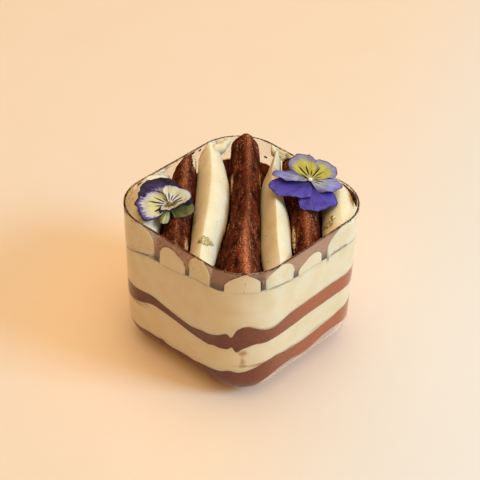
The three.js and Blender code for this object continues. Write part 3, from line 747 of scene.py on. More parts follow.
# Relief of the skin, height and size of its lumps in mm: powder, and plain cream
POWDER_RELIEF = [(0.22, 2.4), (0.16, 0.9)]
CREAM_RELIEF = [(0.16, 9), (0.035, 1.6)]
LOG_ROWS = 380
FREE_COLUMNS = 84
PRESSED_COLUMNS = 14
FOOT_COLUMNS = 4
FREE_SPAN = slice(PRESSED_COLUMNS, PRESSED_COLUMNS + FREE_COLUMNS)
SECTION_ANGLES = np.linspace(-SECTION_TUCK, np.pi + SECTION_TUCK, 361)
HALVINGS = 24
# How near the wall a point counts as pressed on it
PRESSED_WITHIN = 0.3
# Widths of free skin near a log's end between which its powder begins
BARE_END = (0.6, 2.2)
# Places where the cocoa has been brushed off its log: log, across, along, half width, half length
BARE = [
    ("cocoa_log_2", -17.6, -31, 1.1, 5), ("cocoa_log_2", -20.9, 25, 1.2, 8),
    ("cocoa_log_4", -3.6, -22, 0.9, 7), ("cocoa_log_4", -5.4, 4, 0.6, 6), ("cocoa_log_4", 8.3, -22, 0.7, 6),
    ("cocoa_log_4", 6.9, 20, 0.7, 7), ("cocoa_log_6", 19.2, 16, 0.7, 7), ("cocoa_log_2", -30.6, 30, 0.8, 6),
]
# How strongly a highlight is painted on the powder along a crest, at even places from the cup's back to its
# front
CREST_HIGHLIGHT = {
    "cocoa_log_2": [0.5, 0.4, 0.5, 0.2, 0.3, 0.5], "cocoa_log_4": [0.6, 0.4, 0.2, 0.3, 0.9, 1.0],
    "cocoa_log_6": [0.3, 0.3, 0.3, 0.6, 0.5, 0.5],
}
# From the cup's back to its front in mm; the crest's angle and half width in radians
CREST_HIGHLIGHT_LENGTH = 96
CREST_HIGHLIGHT_ANGLE = 1.5
CREST_HIGHLIGHT_WIDTH = 0.26
print("Logs:", len(LOGS), "with cocoa on", sum(log["dusted"] for log in LOGS))

# %% [markdown]
# ## The wall seen from the logs
# The logs run along a diagonal of the cup, so their places are measured across and along them. Seen that
# way the cup is a diamond with round corners, and one formula says how far off its wall stands.


# %% Wall and cream floor
def on_plan(across, along, up):
    """A place given across and along the logs, as X, Y and Z."""
    half = math.sqrt(0.5)
    return np.stack(np.broadcast_arrays((across + along) * half, (across - along) * half, up), -1)


def wall_across(along, z, depth=FOOD_DEPTH):
    """How far from the middle log the wall stands at a place along the logs. Seen this way round the cup
    is a diamond: an arc at the side corner, a straight side at 45 degrees, an arc at the end corner."""
    half = blend(BASE_HALF, RIM_HALF, z / CUP_HEIGHT) - depth
    corner = blend(BASE_CORNER, RIM_CORNER, z / CUP_HEIGHT) - depth
    middle = math.sqrt(2) * (half - corner)
    along = np.abs(along)
    side_arc = middle + np.sqrt(np.maximum(corner ** 2 - along ** 2, 0))
    end_arc = np.sqrt(np.maximum(corner ** 2 - (along - middle) ** 2, 0))
    straight = math.sqrt(2) * half - along
    join = corner / math.sqrt(2)
    return np.where(along < join, side_arc, np.where(straight > join, straight, end_arc))


RIM_TURNS = np.linspace(0, 1, 721)
RIM_EDGE = outline(RIM_TURNS % 1, CUP_HEIGHT + 0 * RIM_TURNS, WALL)
RIM_ANGLES = np.unwrap(np.arctan2(RIM_EDGE[:, 1], RIM_EDGE[:, 0]))
RIM_REACH = np.hypot(RIM_EDGE[:, 0], RIM_EDGE[:, 1])


def cream_floor(across, along):
    """Height of the cream that the logs lie on: a place is read as a turn and a reach."""
    place = on_plan(across, along, 0.0)
    angle = (np.arctan2(place[..., 1], place[..., 0]) - RIM_ANGLES[0]) % (2 * np.pi) + RIM_ANGLES[0]
    turn = np.interp(angle, RIM_ANGLES, RIM_TURNS)
    reach = np.hypot(place[..., 0], place[..., 1]) / np.interp(angle, RIM_ANGLES, RIM_REACH)
    return cream_line(turn % 1, np.minimum(reach, 1))


print("Cream under the middle of the logs:", round(float(cream_floor(0.0, 0.0)), 1), "mm up")

# %% [markdown]
# ## The section of a log
# One formula gives a log's skin at every station and angle. It serves again wherever something is laid on
# a log.


# %% Section of a log
def fullness_at(log, along, middle):
    """A log is squashed over the last stretch before the wall, and there its section is squarer."""
    wall = math.sqrt(2) * RIM_HALF - np.maximum(np.abs(middle), CORNER_REACH)
    blunt = np.where(along < 0, *log["blunt"])
    squash = blunt * smooth(np.abs(along), wall - END_LENGTH, wall)
    return blend(SECTION_FULLNESS, END_FULLNESS, squash)


def section(log, along, angle):
    """Across and height of a log's skin. Height is the sine of the angle above the tucked foot, raised to
    a power that fills it out; a ridged log is drawn in towards its crest, and a leaning one shifts."""
    share = np.clip((along - log["back"]) / (log["front"] - log["back"]), 0, 1)
    left, right, crest = (through(log[key], share) for key in ("left", "right", "crest"))
    crest = crest + LUMP_HEIGHT * np.sin(2 * np.pi * along / LUMP_LENGTH + log["left"][2])
    tuck = math.sin(SECTION_TUCK)
    fullness = fullness_at(log, along, (left + right) / 2)
    oval = np.maximum((np.sin(angle) + tuck) / (1 + tuck), 0) ** fullness
    rise = blend(oval, oval * (1 - np.abs(np.cos(angle)) * RIDGE_CUT), log["ridge"])
    across = (left + right) / 2 + (right - left) / 2 * (
        np.cos(angle) * (1 - abs(log["lean"]) * rise) + log["lean"] * rise)
    foot = cream_floor(across, along) - SUNK
    return across, blend(foot, crest, rise)


for log in LOGS:
    edges, heights = section(log, np.zeros((1, 1)), SECTION_ANGLES[None, :])
    print(log["name"], round(np.ptp(edges), 1), "mm wide, crest at", round(heights.max(), 1), "mm")

# %% [markdown]
# ## Pressing a log on the wall
# The stations where a log begins and ends are found by halving. Between them each row is cut where it meets
# the wall. Rows lean with the wall, so that they never fold where two walls meet in a corner.


# %% Pressed rows
def following(along, z, crest):
    """Stations of points below a row's crest. The wall leans in towards the base, and the row leans too."""
    half, top_half = (blend(BASE_HALF, RIM_HALF, height / CUP_HEIGHT) for height in (z, crest))
    return along * half / top_half


def log_reach(log):
    """The stations between which some of a log's section lies inside the wall, found by halving."""
    ends = []
    for beyond in (log["back"], log["front"]):
        within = 0.0
        for _ in range(HALVINGS):
            along = (within + beyond) / 2
            across, z = section(log, np.array([[along]]), SECTION_ANGLES[None, :])
            clear = (wall_across(following(along, z, z.max()), z) - np.abs(across)).max() > 0
            within, beyond = (along, beyond) if clear else (within, along)
        ends.append(within)
    return ends


def pressed_section(log, along):
    """Rows of a log at stations along it: down the wall on its right, over the free skin, down the wall
    on its left and back under the foot. Also gives each point's station, whether it is free of the wall,
    and its angle."""
    across, z = section(log, along[:, None], SECTION_ANGLES[None, :])
    crest = z.max(1)
    inside = wall_across(following(along[:, None], z, crest[:, None]), z) - np.abs(across) > 0
    start = SECTION_ANGLES[np.argmax(inside, 1)]
    end = SECTION_ANGLES[::-1][np.argmax(inside[:, ::-1], 1)]
    angle = start[:, None] + (end - start)[:, None] * np.linspace(0, 1, FREE_COLUMNS)[None, :]
    free_across, free_z = section(log, along[:, None], angle)
    free = np.stack([free_across, free_z], -1)
    sides = []
    for side, first in ((1, 0), (-1, -1)):
        top = free[:, first]
        limit = wall_across(following(along, top[:, 1], crest), top[:, 1])
        pressed = np.abs(np.abs(top[:, 0]) - limit) < PRESSED_WITHIN
        foot_across = np.where(pressed, side * limit, top[:, 0])
        foot = cream_floor(foot_across, along) - SUNK
        share = np.linspace(0, 1, PRESSED_COLUMNS, endpoint=False)[None, :]
        heights = blend(foot[:, None], top[:, 1:2], share)
        heights = np.where(pressed[:, None], heights, top[:, 1:2])
        stations = following(along[:, None], heights, crest[:, None])
        walls = np.sign(top[:, 0:1]) * wall_across(stations, heights)
        places = np.where(pressed[:, None], walls, top[:, 0:1])
        strip = np.stack([places, heights], -1)
        sides.append(strip if side > 0 else strip[:, ::-1])
    right, left = sides
    share = np.linspace(0, 1, FOOT_COLUMNS + 2)[1:-1][None, :, None]
    foot = blend(left[:, -1:], right[:, :1], share)
    rows = np.concatenate([right, free, left, foot], 1)
    is_free = np.zeros(rows.shape[:2])
    is_free[:, FREE_SPAN] = 1
    angles = np.zeros(rows.shape[:2])
    angles[:, FREE_SPAN] = angle
    return rows, following(along[:, None], rows[..., 1], crest[:, None]), is_free, angles


print("The middle log runs from", *np.round(log_reach(LOGS[3]), 1), "mm")

# %% [markdown]
# ## Skin and powder of the logs
# A log's skin is pushed in and out a little by noise. What its finish has to know is worked out beside it:
# how much powder lies at a point, and where a highlight is painted along its crest.


# %% Log meshes
def skin_relief(log, place, angles, is_free):
    """How far the skin stands out. Cream has slow folds, powder is lumpy."""
    layers = POWDER_RELIEF if log["dusted"] else CREAM_RELIEF
    relief = sum(height * lumps(place, size, 2) for height, size in layers)
    return relief * is_free * smooth(np.sin(angles), -0.2, 0.3)


def crest_highlight_mask(name, angle, along):
    """Where a highlight is painted on the powder: along the crest of each dusted log, by a strength that is
    a curve through values from its back to its front."""
    strength = through(CREST_HIGHLIGHT.get(name, [0, 0]), np.clip(along / CREST_HIGHLIGHT_LENGTH + 0.5, 0, 1))
    return np.maximum(strength, 0) * np.exp(-((angle - CREST_HIGHLIGHT_ANGLE) / CREST_HIGHLIGHT_WIDTH) ** 2)


def dust_and_shade_mask(log, across, along, angles, is_free):
    """Cocoa on the free skin of a dusted log but for its bare places. A plain log gets a faint dust all
    over, and at its tucked foot, low between the logs, a painted shade in cocoa tones.
    """
    if not log["dusted"]:
        # Painted shade at the tucked foot of a plain log, low between the logs
        foot = 1 - smooth(np.sin(angles), -0.25, 0.12)
        return is_free * (0.1 + 0.55 * foot)
    dust = is_free * 1.0
    for name, centre, station, width, length in BARE:
        if name == log["name"]:
            spot = np.exp(-((across - centre) / width) ** 2 - ((along - station) / length) ** 2)
            dust = dust - 1.1 * spot
    return dust


def make_log(log):
    """Makes a log and returns its free skin, on which the powder is laid. Its rows are closest at its
    ends."""
    first, last = log_reach(log)
    along = blend(first, last, (1 - np.cos(np.pi * np.linspace(0, 1, LOG_ROWS))) / 2)
    rows, stations, is_free, angles = pressed_section(log, along)
    place = on_plan(rows[..., 0], stations, rows[..., 1])
    relief = skin_relief(log, place, angles, is_free)
    across = rows[..., 0] + np.cos(angles) * relief
    limit = wall_across(stations, rows[..., 1])
    across = np.where(is_free > 0, np.clip(across, -limit, limit), across)
    limit = wall_across(across, rows[..., 1])
    place = on_plan(across, np.clip(stations, -limit, limit), rows[..., 1] + np.sin(angles) * relief)
    dust = dust_and_shade_mask(log, across, stations, angles, is_free)
    width = np.abs(rows[:, FREE_SPAN.start, 0] - rows[:, FREE_SPAN.stop - 1, 0])
    dust = dust * smooth(width, *BARE_END)[:, None]
    # The painted highlight along the crest
    ridge = crest_highlight_mask(log["name"], angles, stations) * is_free
    look = (DUSTED_FINISH, "cocoa") if log["dusted"] else (CREAM_FINISH, "cream")
    masks = {"dust": dust, "soak": 0.0, "ridge": ridge}
    skin_piece("piped_" + log["name"], log["name"], place, *look, masks)
    return place[:, FREE_SPAN]


free_skins = {log["name"]: make_log(log) for log in LOGS}

# %% [markdown]
# ## Pulled tails
# When the piping bag is lifted off, it pulls the cream into a tail. Two tails lie at the back, smeared up
# against the wall. Each is a bent tube whose radius shrinks along its length and closes at both ends.

# %% Tails
TAILS = [
    {"log": "cream_log_3", "from": (-11.5, -36.5, 60.2), "to": (-3, -43.6, 62.3), "thick": 2.9, "thin": 1.5},
    {"log": "cream_log_5", "from": (15.4, -34, 61), "to": (13.2, -38.0, 63.2), "thick": 1.9, "thin": 1.1},
]
TAIL_SAG = 0.8
# Share of the radius by which a tail's skin goes in and out, and the size of its lumps
TAIL_LUMPS = 0.25
TAIL_LUMP_SIZE = 2.6
TAIL_ROWS = 60
TAIL_COLUMNS = 48


def tube(path, radius, columns):
    """Rows of circles square to a path of points, each with its own radius."""
    ahead = np.gradient(path, axis=0)
    ahead /= np.linalg.norm(ahead, axis=1, keepdims=True)
    side = np.cross(ahead, [0, 0, 1.0])
    side /= np.linalg.norm(side, axis=1, keepdims=True)
    up = np.cross(side, ahead)
    angle = np.arange(columns) / columns * 2 * np.pi
    circle = np.cos(angle)[None, :, None] * side[:, None] + np.sin(angle)[None, :, None] * up[:, None]
    return path[:, None] + circle * radius[:, None, None]


def keep_inside(place, depth=FOOD_DEPTH):
    """Draws points that lie beyond the wall back to it, straight towards the middle log."""
    across = (place[..., 0] + place[..., 1]) * math.sqrt(0.5)
    along = (place[..., 0] - place[..., 1]) * math.sqrt(0.5)
    limit = wall_across(along, place[..., 2], depth)
    return on_plan(np.clip(across, -limit, limit), along, place[..., 2])


def make_tail(tail):
    """A sagging tube that is thinner at its far end. The root of a half sine closes both its ends."""
    share = np.linspace(0, 1, TAIL_ROWS)
    line = blend(np.array(tail["from"]), np.array(tail["to"]), share[:, None])
    path = on_plan(line[:, 0], line[:, 1], line[:, 2] - TAIL_SAG * np.sin(share * np.pi))
    closing = np.sqrt(np.sin(np.clip(share, 0.004, 0.996) * np.pi))
    radius = blend(tail["thick"], tail["thin"], share) * closing
    rows = tube(path, radius, TAIL_COLUMNS)
    rows = rows + (rows - path[:, None]) * TAIL_LUMPS * lumps(rows, TAIL_LUMP_SIZE, 2)[..., None]
    skin_piece("tail_of_" + tail["log"], tail["log"], keep_inside(rows), CREAM_FINISH, "cream",
               {"dust": 0.0, "soak": 0.0})


for tail in TAILS:
    make_tail(tail)

# %% [markdown]
# ## Cocoa powder
# Sifted cocoa is a coarse fur of tiny clumps. A bump map is too smooth for it, so thousands of real clumps
# are scattered over the dusted logs. Each is an eight-sided grain, pressed a little flat on the skin and
# turned at random. All grains of a log are one mesh, so that they cost little.

# %% Cocoa grains
GRAIN_FACES = np.array([
    (0, 1, 4), (1, 2, 4), (2, 3, 4), (3, 0, 4), (1, 0, 5), (2, 1, 5), (3, 2, 5), (0, 3, 5),
])
# Grains on a dusted log and on a plain one: start of the piece's name, number and smallest size
POWDER = ("powder_on_", 5200, 0.18)
STRAYS = ("strays_on_", 26, 0.2)
LARGEST_GRAIN = 0.42


def grain_finish():
    finish = Finish("cocoa_grains")
    fleck = finish.step(finish.noise(0.5, detail=1), 0.42, 0.62)
    tone = finish.mix(fleck, COCOA_DARK, COCOA)
    bright = finish.step(finish.noise(1.0, detail=2), 0.5, 0.62)
    wear_and_highlight = finish.step(finish.noise(4.5, detail=2), 0.48, 0.6)
    # Along a crest the grains get the painted highlight too
    wear_and_highlight = finish.math("MAXIMUM", wear_and_highlight * 0.75, finish.mask("ridge"))
    tone = finish.mix(bright * wear_and_highlight, tone, COCOA_FLECK_AND_HIGHLIGHT)
    return finish.close(finish.surface(Base_Color=tone, Roughness=0.85, Specular_IOR_Level=0.15))


def grains(places, normals, sizes, flat, chance):
    """Points and faces of one eight-sided grain at each place: four corners round the normal and one on
    either side along it, each pushed in or out at random."""
    count = len(places)
    helper = np.where(np.abs(normals[:, 2:]) < 0.9, [[0, 0, 1.0]], [[1.0, 0, 0]])
    first = np.cross(normals, helper)
    first /= np.linalg.norm(first, axis=1, keepdims=True)
    second = np.cross(normals, first)
    spin = chance.random((count, 1)) * 2 * np.pi
    side = np.cos(spin) * first + np.sin(spin) * second
    ahead = np.cos(spin) * second - np.sin(spin) * first
    rays = np.stack([side, ahead, -side, -ahead, normals * flat, -normals * flat], 1)
    rays = rays * chance.uniform(0.6, 1.4, (count, 6, 1)) * sizes[:, None, None]
    faces = GRAIN_FACES[None] + 6 * np.arange(count)[:, None, None]
    return places[:, None] + rays, faces.reshape(-1, 3).tolist()


def on_skin(skin, count, chance):
    """Random places on a grid of skin points, more where its cells are larger, with the skin's normals."""
    a, b, c = skin[:-1, :-1], skin[1:, :-1], skin[:-1, 1:]
    normal = np.cross(b - a, c - a)
    area = np.linalg.norm(normal, axis=-1)
    cell = chance.choice(area.size, count, p=(area / area.sum()).ravel())
    row, column = np.unravel_index(cell, area.shape)
    u, v = chance.random((2, count, 1))
    place = a[row, column] + u * (b - a)[row, column] + v * (c - a)[row, column]
    normal = normal[row, column] / np.maximum(area[row, column], 1e-9)[:, None]
    return place, normal * (1 if normal[:, 2].mean() > 0 else -1), column / (skin.shape[1] - 2)


GRAIN_FINISH = grain_finish()


def powder(node, start, count, smallest, seed):
    """Grains over a log's free skin. A size is a random number raised to 1.5, so most are small."""
    chance = np.random.default_rng(seed)
    places, normals, share = on_skin(free_skins[node], count, chance)
    sizes = chance.uniform(smallest, LARGEST_GRAIN, count) ** 1.5
    points, faces = grains(places, normals, sizes, 0.7, chance)
    # The painted highlight of the crest, at each grain
    ridge = crest_highlight_mask(node, share * np.pi, (places[:, 0] - places[:, 1]) * math.sqrt(0.5))
    piece = build(start + node, points, faces, GRAIN_FINISH, "cocoa", {"ridge": ridge[:, None]}, weld=False)
    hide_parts(node)
    print(piece.name, count, "grains")


for seed, log in enumerate(LOGS):
    powder(log["name"], *(POWDER if log["dusted"] else STRAYS), seed)

# %% [markdown]
# ## The film on the wall
# Sifted cocoa clings to the inside of the front walls as a thin film. The logs are pressed in front of it,
# so it shows only in the gaps between them: pale cocoa above, and low in a gap a dark painted shade for the
# deep shadow between the logs. It could be painted into the plastic, but a shell of its own, a tenth of a
# millimetre thick, ends where the walls are clean. Its alpha makes it uneven.

# %% Film of cocoa
FILM_TURNS = (0.815, 1.18)
# How much the film covers at even places along it
FILM_COVER = [0.5, 0.6, 0.62, 0.62, 0.55, 0.45, 0.5, 0.9, 1.0, 1.0, 0.9]
FILM_PALE = (0.54, 0.28, 0.165)
# Painted shade low in the gaps between the logs
FILM_PAINTED_SHADE = (0.055, 0.034, 0.024)
FILM_BOTTOM = 46
FILM_TOP = CUP_HEIGHT - 0.55
FILM_OUTSIDE = WALL - 0.06
FILM_INSIDE = WALL + 0.05
# Height in mm above the cream over which the painted shade fades
FILM_SHADE_HEIGHT = 5


def film_finish():
    """Painted shade where the mesh says that it is low, pale cocoa above, and see-through by how much it
    says that it covers.
    """
    film = Finish("cocoa_film_and_shade")
    patch = film.step(film.noise(1.6, detail=4), 0.3, 0.7)
    tone = film.mix(film.mask("low") * 0.85 + patch * 0.15, FILM_PALE, FILM_PAINTED_SHADE)
    return film.close(film.surface(Base_Color=tone, Roughness=0.9, Specular_IOR_Level=0.1,
                                   Alpha=film.mask("cover") * (0.75 + 0.2 * patch)))


def make_film():
    """A shell along the wall between two turns. Each row runs up its outside and down its inside."""
    turns = np.linspace(*FILM_TURNS, 260)[:, None]
    heights = np.linspace(FILM_BOTTOM, FILM_TOP, 30) + 0 * turns
    outer = outline(turns % 1, heights, FILM_OUTSIDE)
    inner = outline(turns % 1, heights, FILM_INSIDE)
    rows = np.concatenate([outer, inner[:, ::-1]], 1)
    # Painted shade: how low a point lies in a gap above the cream
    low = 1 - smooth(heights - cream_line(turns % 1, 1.0), 0, FILM_SHADE_HEIGHT)
    share = (turns - FILM_TURNS[0]) / (FILM_TURNS[1] - FILM_TURNS[0])
    masks = {"low": there_and_back(low), "cover": there_and_back(through(FILM_COVER, share) + 0 * heights)}
    points, faces = closed_skin(rows)
    build("cocoa_film_and_shade", points, faces, film_finish(), "cocoa", skin_masks(masks, rows.shape[:2]))
    print("Film:", len(faces), "faces")


make_film()

# %% [markdown]
# ## Dirt on the cup
# Cocoa sifted over the top also lands on the rim and sticks to the wall above the cream. Where a log was
# pressed on, cream and cocoa are smeared up the wall, and some cocoa is caught in a dark line under its
# foot. The specks are grains again. A smear is a ragged disc laid on the wall's inside, thick in its middle
# and thin at its edge.

# %% Specks and smears
# How thickly cocoa lies on the rim at 24 even places round it, from the front corner
RIM_COVER = [
    0.35, 0.9, 0.95, 0.7, 1.0, 0.95, 0.7, 0.7, 0.6, 0.6, 0.6, 0.6,
    0.7, 0.8, 0.8, 0.9, 0.8, 1.0, 0.7, 0.7, 0.8, 0.6, 0.8, 0.6,
]
RIM_SPECKS = 17000
SMALLEST_SPECK = 0.05
# Specks on the wall: number, turns, heights, largest size, depth
WALL_SPECKS = [
    (420, (0, 1), (52, 62.4), 0.16, WALL), (90, (0, 1), (30, 52), 0.14, WALL),
    (170, (0.765, 0.845), (46, 61), 0.17, FOOD_DEPTH), (70, (0.885, 0.935), (51, 61), 0.15, FOOD_DEPTH),
    (60, (1.14, 1.2), (54, 62), 0.16, FOOD_DEPTH), (130, (0, 1), (14, 52), 0.1, FOOD_DEPTH),
]
# Smears on the inside of the wall: turn, height, half width and half height in mm, thickness
CREAM_SMEARS = [
    (0.650, 62.0, 3.4, 1.2, 0.5), (0.637, 62.4, 2.4, 0.8, 0.4), (0.543, 61.4, 2.0, 1.5, 0.6),
    (0.530, 61.2, 2.6, 2.0, 0.8), (0.517, 61.6, 1.6, 1.4, 0.5), (0.434, 60.4, 1.6, 1.8, 0.5),
    (0.420, 61.7, 3.0, 1.2, 0.5), (0.4075, 61.0, 1.9, 1.6, 0.5), (0.4215, 59.2, 1.5, 1.2, 0.4),
    (0.4095, 59.7, 1.7, 1.2, 0.4), (0.600, 60.5, 1.6, 2.2, 0.4),
]
COCOA_SMEARS = [
    (0.694, 62.1, 1.9, 0.8, 0.3), (0.681, 62.2, 1.6, 0.9, 0.3), (0.5705, 61.8, 0.9, 0.5, 0.2),
    (0.297, 62.0, 2.0, 0.9, 0.3), (0.286, 61.6, 1.6, 0.9, 0.3), (0.268, 61.9, 1.3, 0.6, 0.2),
    (0.2575, 59.7, 0.9, 0.5, 0.2), (0.4535, 55.6, 0.9, 0.4, 0.2), (0.7705, 62.3, 1.4, 0.5, 0.2),
    (0.8205, 62.5, 1.2, 0.4, 0.2), (0.182, 60.5, 1.1, 0.5, 0.2), (0.149, 61.7, 1.3, 0.5, 0.2),
    (0.0715, 54.8, 1.2, 0.4, 0.2), (0.0245, 59.7, 1.3, 0.9, 0.2), (0.194, 57.8, 0.6, 0.5, 0.15),
    (0.2745, 60.7, 3.2, 1.9, 0.25), (0.262, 60.4, 2.2, 1.7, 0.2), (0.8735, 62.4, 1.0, 0.4, 0.2),
    (0.895, 62.3, 1.4, 0.4, 0.2), (0.59, 62.2, 2.4, 0.5, 0.2),
]
# Lines of cocoa at the feet of logs: turn and height at either end, number of grains
SEAMS = [
    ((0.768, 44.8), (0.844, 51.2), 330), ((0.164, 51.6), (0.199, 51.6), 130),
    ((0.035, 53.6), (0.075, 52.4), 90),
]
SMEAR_RINGS = 9
SMEAR_COLUMNS = 40
SMEAR_BACK = WALL - 0.05


def outward(turn, z):
    """Unit vectors pointing out of the wall."""
    way = outline(turn, z, 0.0) - outline(turn, z, 1.0)
    return way / np.linalg.norm(way, axis=-1, keepdims=True)


def rim_specks():
    """Grains on the rounded lip. A grain is kept where a random number is below the cover, which is made
    patchy by noise."""
    chance = np.random.default_rng(21)
    turn = chance.random(RIM_SPECKS)
    ring = np.stack([np.cos(2 * np.pi * turn), np.sin(2 * np.pi * turn), 0 * turn], -1) * 40
    cover = through(RIM_COVER, turn, True) + 0.45 * lumps(ring, 1.6, 2)
    turn = turn[chance.random(RIM_SPECKS) < cover]
    bend = chance.uniform(0.12, 0.75, len(turn)) * np.pi
    lip = WALL / 2
    z = CUP_HEIGHT - lip + lip * np.sin(bend)
    places = outline(turn, z, lip * (1 - np.cos(bend)))
    normals = outward(turn, z) * np.cos(bend)[:, None] + np.sin(bend)[:, None] * [[0, 0, 1.0]]
    return grains(places, normals, chance.uniform(SMALLEST_SPECK, 0.15, len(turn)), 0.6, chance)


def wall_specks(count, turns, heights, size, depth, seed):
    """Single grains on the wall between two turns and two heights, at a depth."""
    chance = np.random.default_rng(seed)
    turn, z = chance.uniform(*turns, count) % 1, chance.uniform(*heights, count)
    sizes = chance.uniform(SMALLEST_SPECK, size, count)
    return grains(outline(turn, z, depth), -outward(turn, z), sizes, 0.4, chance)


def smear(turn, z, half_width, half_height, thickness):
    """A ragged oval on the inside of the wall. Its thickness falls with the square of the distance from
    its middle, and its back lies just inside the plastic."""
    angle = np.arange(SMEAR_COLUMNS) / SMEAR_COLUMNS * 2 * np.pi
    ring = np.linspace(0.02, 1, SMEAR_RINGS)[:, None]
    circle = np.stack([np.cos(angle), np.sin(angle), 0 * angle + turn * 90], -1)
    ragged = 1 + 0.3 * lumps(circle * 2, 1.0, 2)
    turns = turn + ring * ragged * np.cos(angle) * half_width / (4 * QUARTER_LENGTH)
    heights = np.minimum(z + ring * ragged * np.sin(angle) * half_height, CUP_HEIGHT - WALL / 2)
    front = outline(turns, heights, WALL)
    swell = thickness * (1 - ring ** 2) * (1 + 0.6 * lumps(front, 0.8, 2))
    front = outline(turns, heights, WALL + np.maximum(swell, 0))
    back = outline(turns, heights, SMEAR_BACK + 0 * heights)
    return closed_skin(np.concatenate([front, back[::-1]]))


def join(parts):
    """Several (points, faces) made one."""
    points, faces, count = [], [], 0
    for part_points, part_faces in parts:
        part_points = part_points.reshape(-1, 3)
        points.append(part_points)
        faces += [[corner + count for corner in face] for face in part_faces]
        count += len(part_points)
    return np.concatenate(points), faces


def seam_specks(start, end, count, seed):
    """Cocoa caught between a log's foot and the wall: grains scattered about a line from one turn and
    height to another, thick and thin by turns."""
    chance = np.random.default_rng(seed)
    share = chance.random(count)
    line = blend(np.array(start), np.array(end), share[:, None])
    thick = 0.12 + 0.5 * np.abs(np.sin(share * 23 + seed)) * np.abs(np.sin(share * 9))
    turn = line[:, 0] % 1
    z = line[:, 1] + chance.normal(0, 1, count) * thick
    sizes = chance.uniform(0.06, 0.2, count)
    return grains(outline(turn, z, FOOD_DEPTH), -outward(turn, z), sizes, 0.5, chance)


specks = join([rim_specks()] + [wall_specks(*patch, seed) for seed, patch in enumerate(WALL_SPECKS, 61)]
              + [seam_specks(*seam, seed) for seed, seam in enumerate(SEAMS, 31)])
build("cocoa_specks", *specks, GRAIN_FINISH, "cocoa", weld=False)
smears = join([smear(*values) for values in CREAM_SMEARS])
build("cream_smears", *smears, CREAM_FINISH, "cream", {"dust": 0.1, "soak": 0.25})
stains = join([smear(*values) for values in COCOA_SMEARS])
build("cocoa_smears", *stains, DUSTED_FINISH, "cocoa", {"dust": 0.85, "soak": 0.4})
print("Specks", len(specks[1]), "faces, smears", len(smears[1]) + len(stains[1]), "faces")

# %% [markdown]
# ## Gold leaf
# Scraps of gold leaf lie on the cream in two places. Leaf is far thinner than paper and crumples where it
# touches, so each scrap follows the log under it and is creased by noise. The creases that face the lamp
# flash, and pale glints and dark shade are also painted into the gold in patches of noise.

# %% Gold leaf
GOLD = (0.74, 0.54, 0.20)
# Painted glint
GOLD_PAINTED_GLINT = (0.96, 0.86, 0.55)
# Painted shade
GOLD_SHADE = (0.33, 0.21, 0.06)
# Log, across, along, radius
FLAKES = [
    ("cream_log_3", -14.6, 24.9, 2.0), ("cream_log_3", -12.9, 23.6, 1.3),
    ("cream_log_7", 32.8, 11.2, 2.0), ("cream_log_7", 33.9, 8.6, 1.3),
]
FLAKE_RINGS = 16
FLAKE_COLUMNS = 72
# Mean height of the leaf over the log and height of its creases, and how far its two sides lie from that
LEAF_STAND = 0.26
LEAF_CREASE = 0.2
LEAF_OVER = 0.1
LEAF_UNDER = 0.15


def gold_finish():
    leaf = Finish("gold_leaf")
    # Patches of noise paint shade and glints over the leaf's gold
    tone = leaf.mix(leaf.step(leaf.noise(0.9, detail=4), 0.4, 0.62), GOLD_SHADE, GOLD)
    tone = leaf.mix(leaf.step(leaf.noise(0.5, detail=3), 0.5, 0.62), tone, GOLD_PAINTED_GLINT)
    return leaf.close(leaf.surface(Base_Color=tone, Metallic=0.45, Roughness=0.35,
                                   Normal=leaf.bump(leaf.noise(0.4, detail=3), 0.25)))


def skin_height(log, across, along):
    """Height of a log's upper skin over each place."""
    angle = np.linspace(0.05, math.pi - 0.05, 181)
    skin_across, skin_z = section(log, along.reshape(-1, 1), angle[None, :])
    nearest = np.abs(skin_across - across.reshape(-1, 1)).argmin(1)
    return skin_z[np.arange(len(nearest)), nearest].reshape(across.shape)


def flake(log, across, along, radius, seed):
    """A ragged disc over a log: its height is that of the skin plus creases, and its underside is hidden."""
    angle = np.arange(FLAKE_COLUMNS) / FLAKE_COLUMNS * 2 * np.pi
    circle = np.stack([np.cos(angle), np.sin(angle), 0 * angle + seed], -1)
    reach = radius * (1 + 0.35 * lumps(circle * 1.7, 1.0, 3)) * np.linspace(0.03, 1, FLAKE_RINGS)[:, None]
    a, b = across + reach * np.cos(angle), along + reach * np.sin(angle)
    skin = skin_height(log, a, b)
    crease = LEAF_STAND + LEAF_CREASE * lumps(np.stack([a, b, skin], -1), 0.8, 3)
    top, under = (on_plan(a, b, skin + crease + way) for way in (LEAF_OVER, -LEAF_UNDER))
    return closed_skin(np.concatenate([top, under[::-1]]))


GOLD_FINISH = gold_finish()
for name in ("cream_log_3", "cream_log_7"):
    log = next(log for log in LOGS if log["name"] == name)
    parts = [flake(log, *values[1:], seed) for seed, values in enumerate(FLAKES) if values[0] == name]
    points, faces = join(parts)
    piece = build("gold_leaf_on_" + name, points, faces, GOLD_FINISH, "cream")
    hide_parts(name)
print("Gold leaf:", len(FLAKES), "flakes")

# %% [markdown]
# ## The violas
# A viola has five petals that overlap like roof tiles: two at the back, two at the sides and a lip. One or
# two sheets more stand for what shows of folded petals and of the green behind them. Each petal is a thin
# sheet spanned over two angles. Its outline is a curve through a few reaches from the flower's middle, and
# its height rises, bends and ruffles towards the edge. Two numbers stored at each point, span across the
# petal and ring out from its root, let the finish paint along the petal's own growth: a margin, a thin
# edge, fine veins and the dark whiskers that lead to the throat.

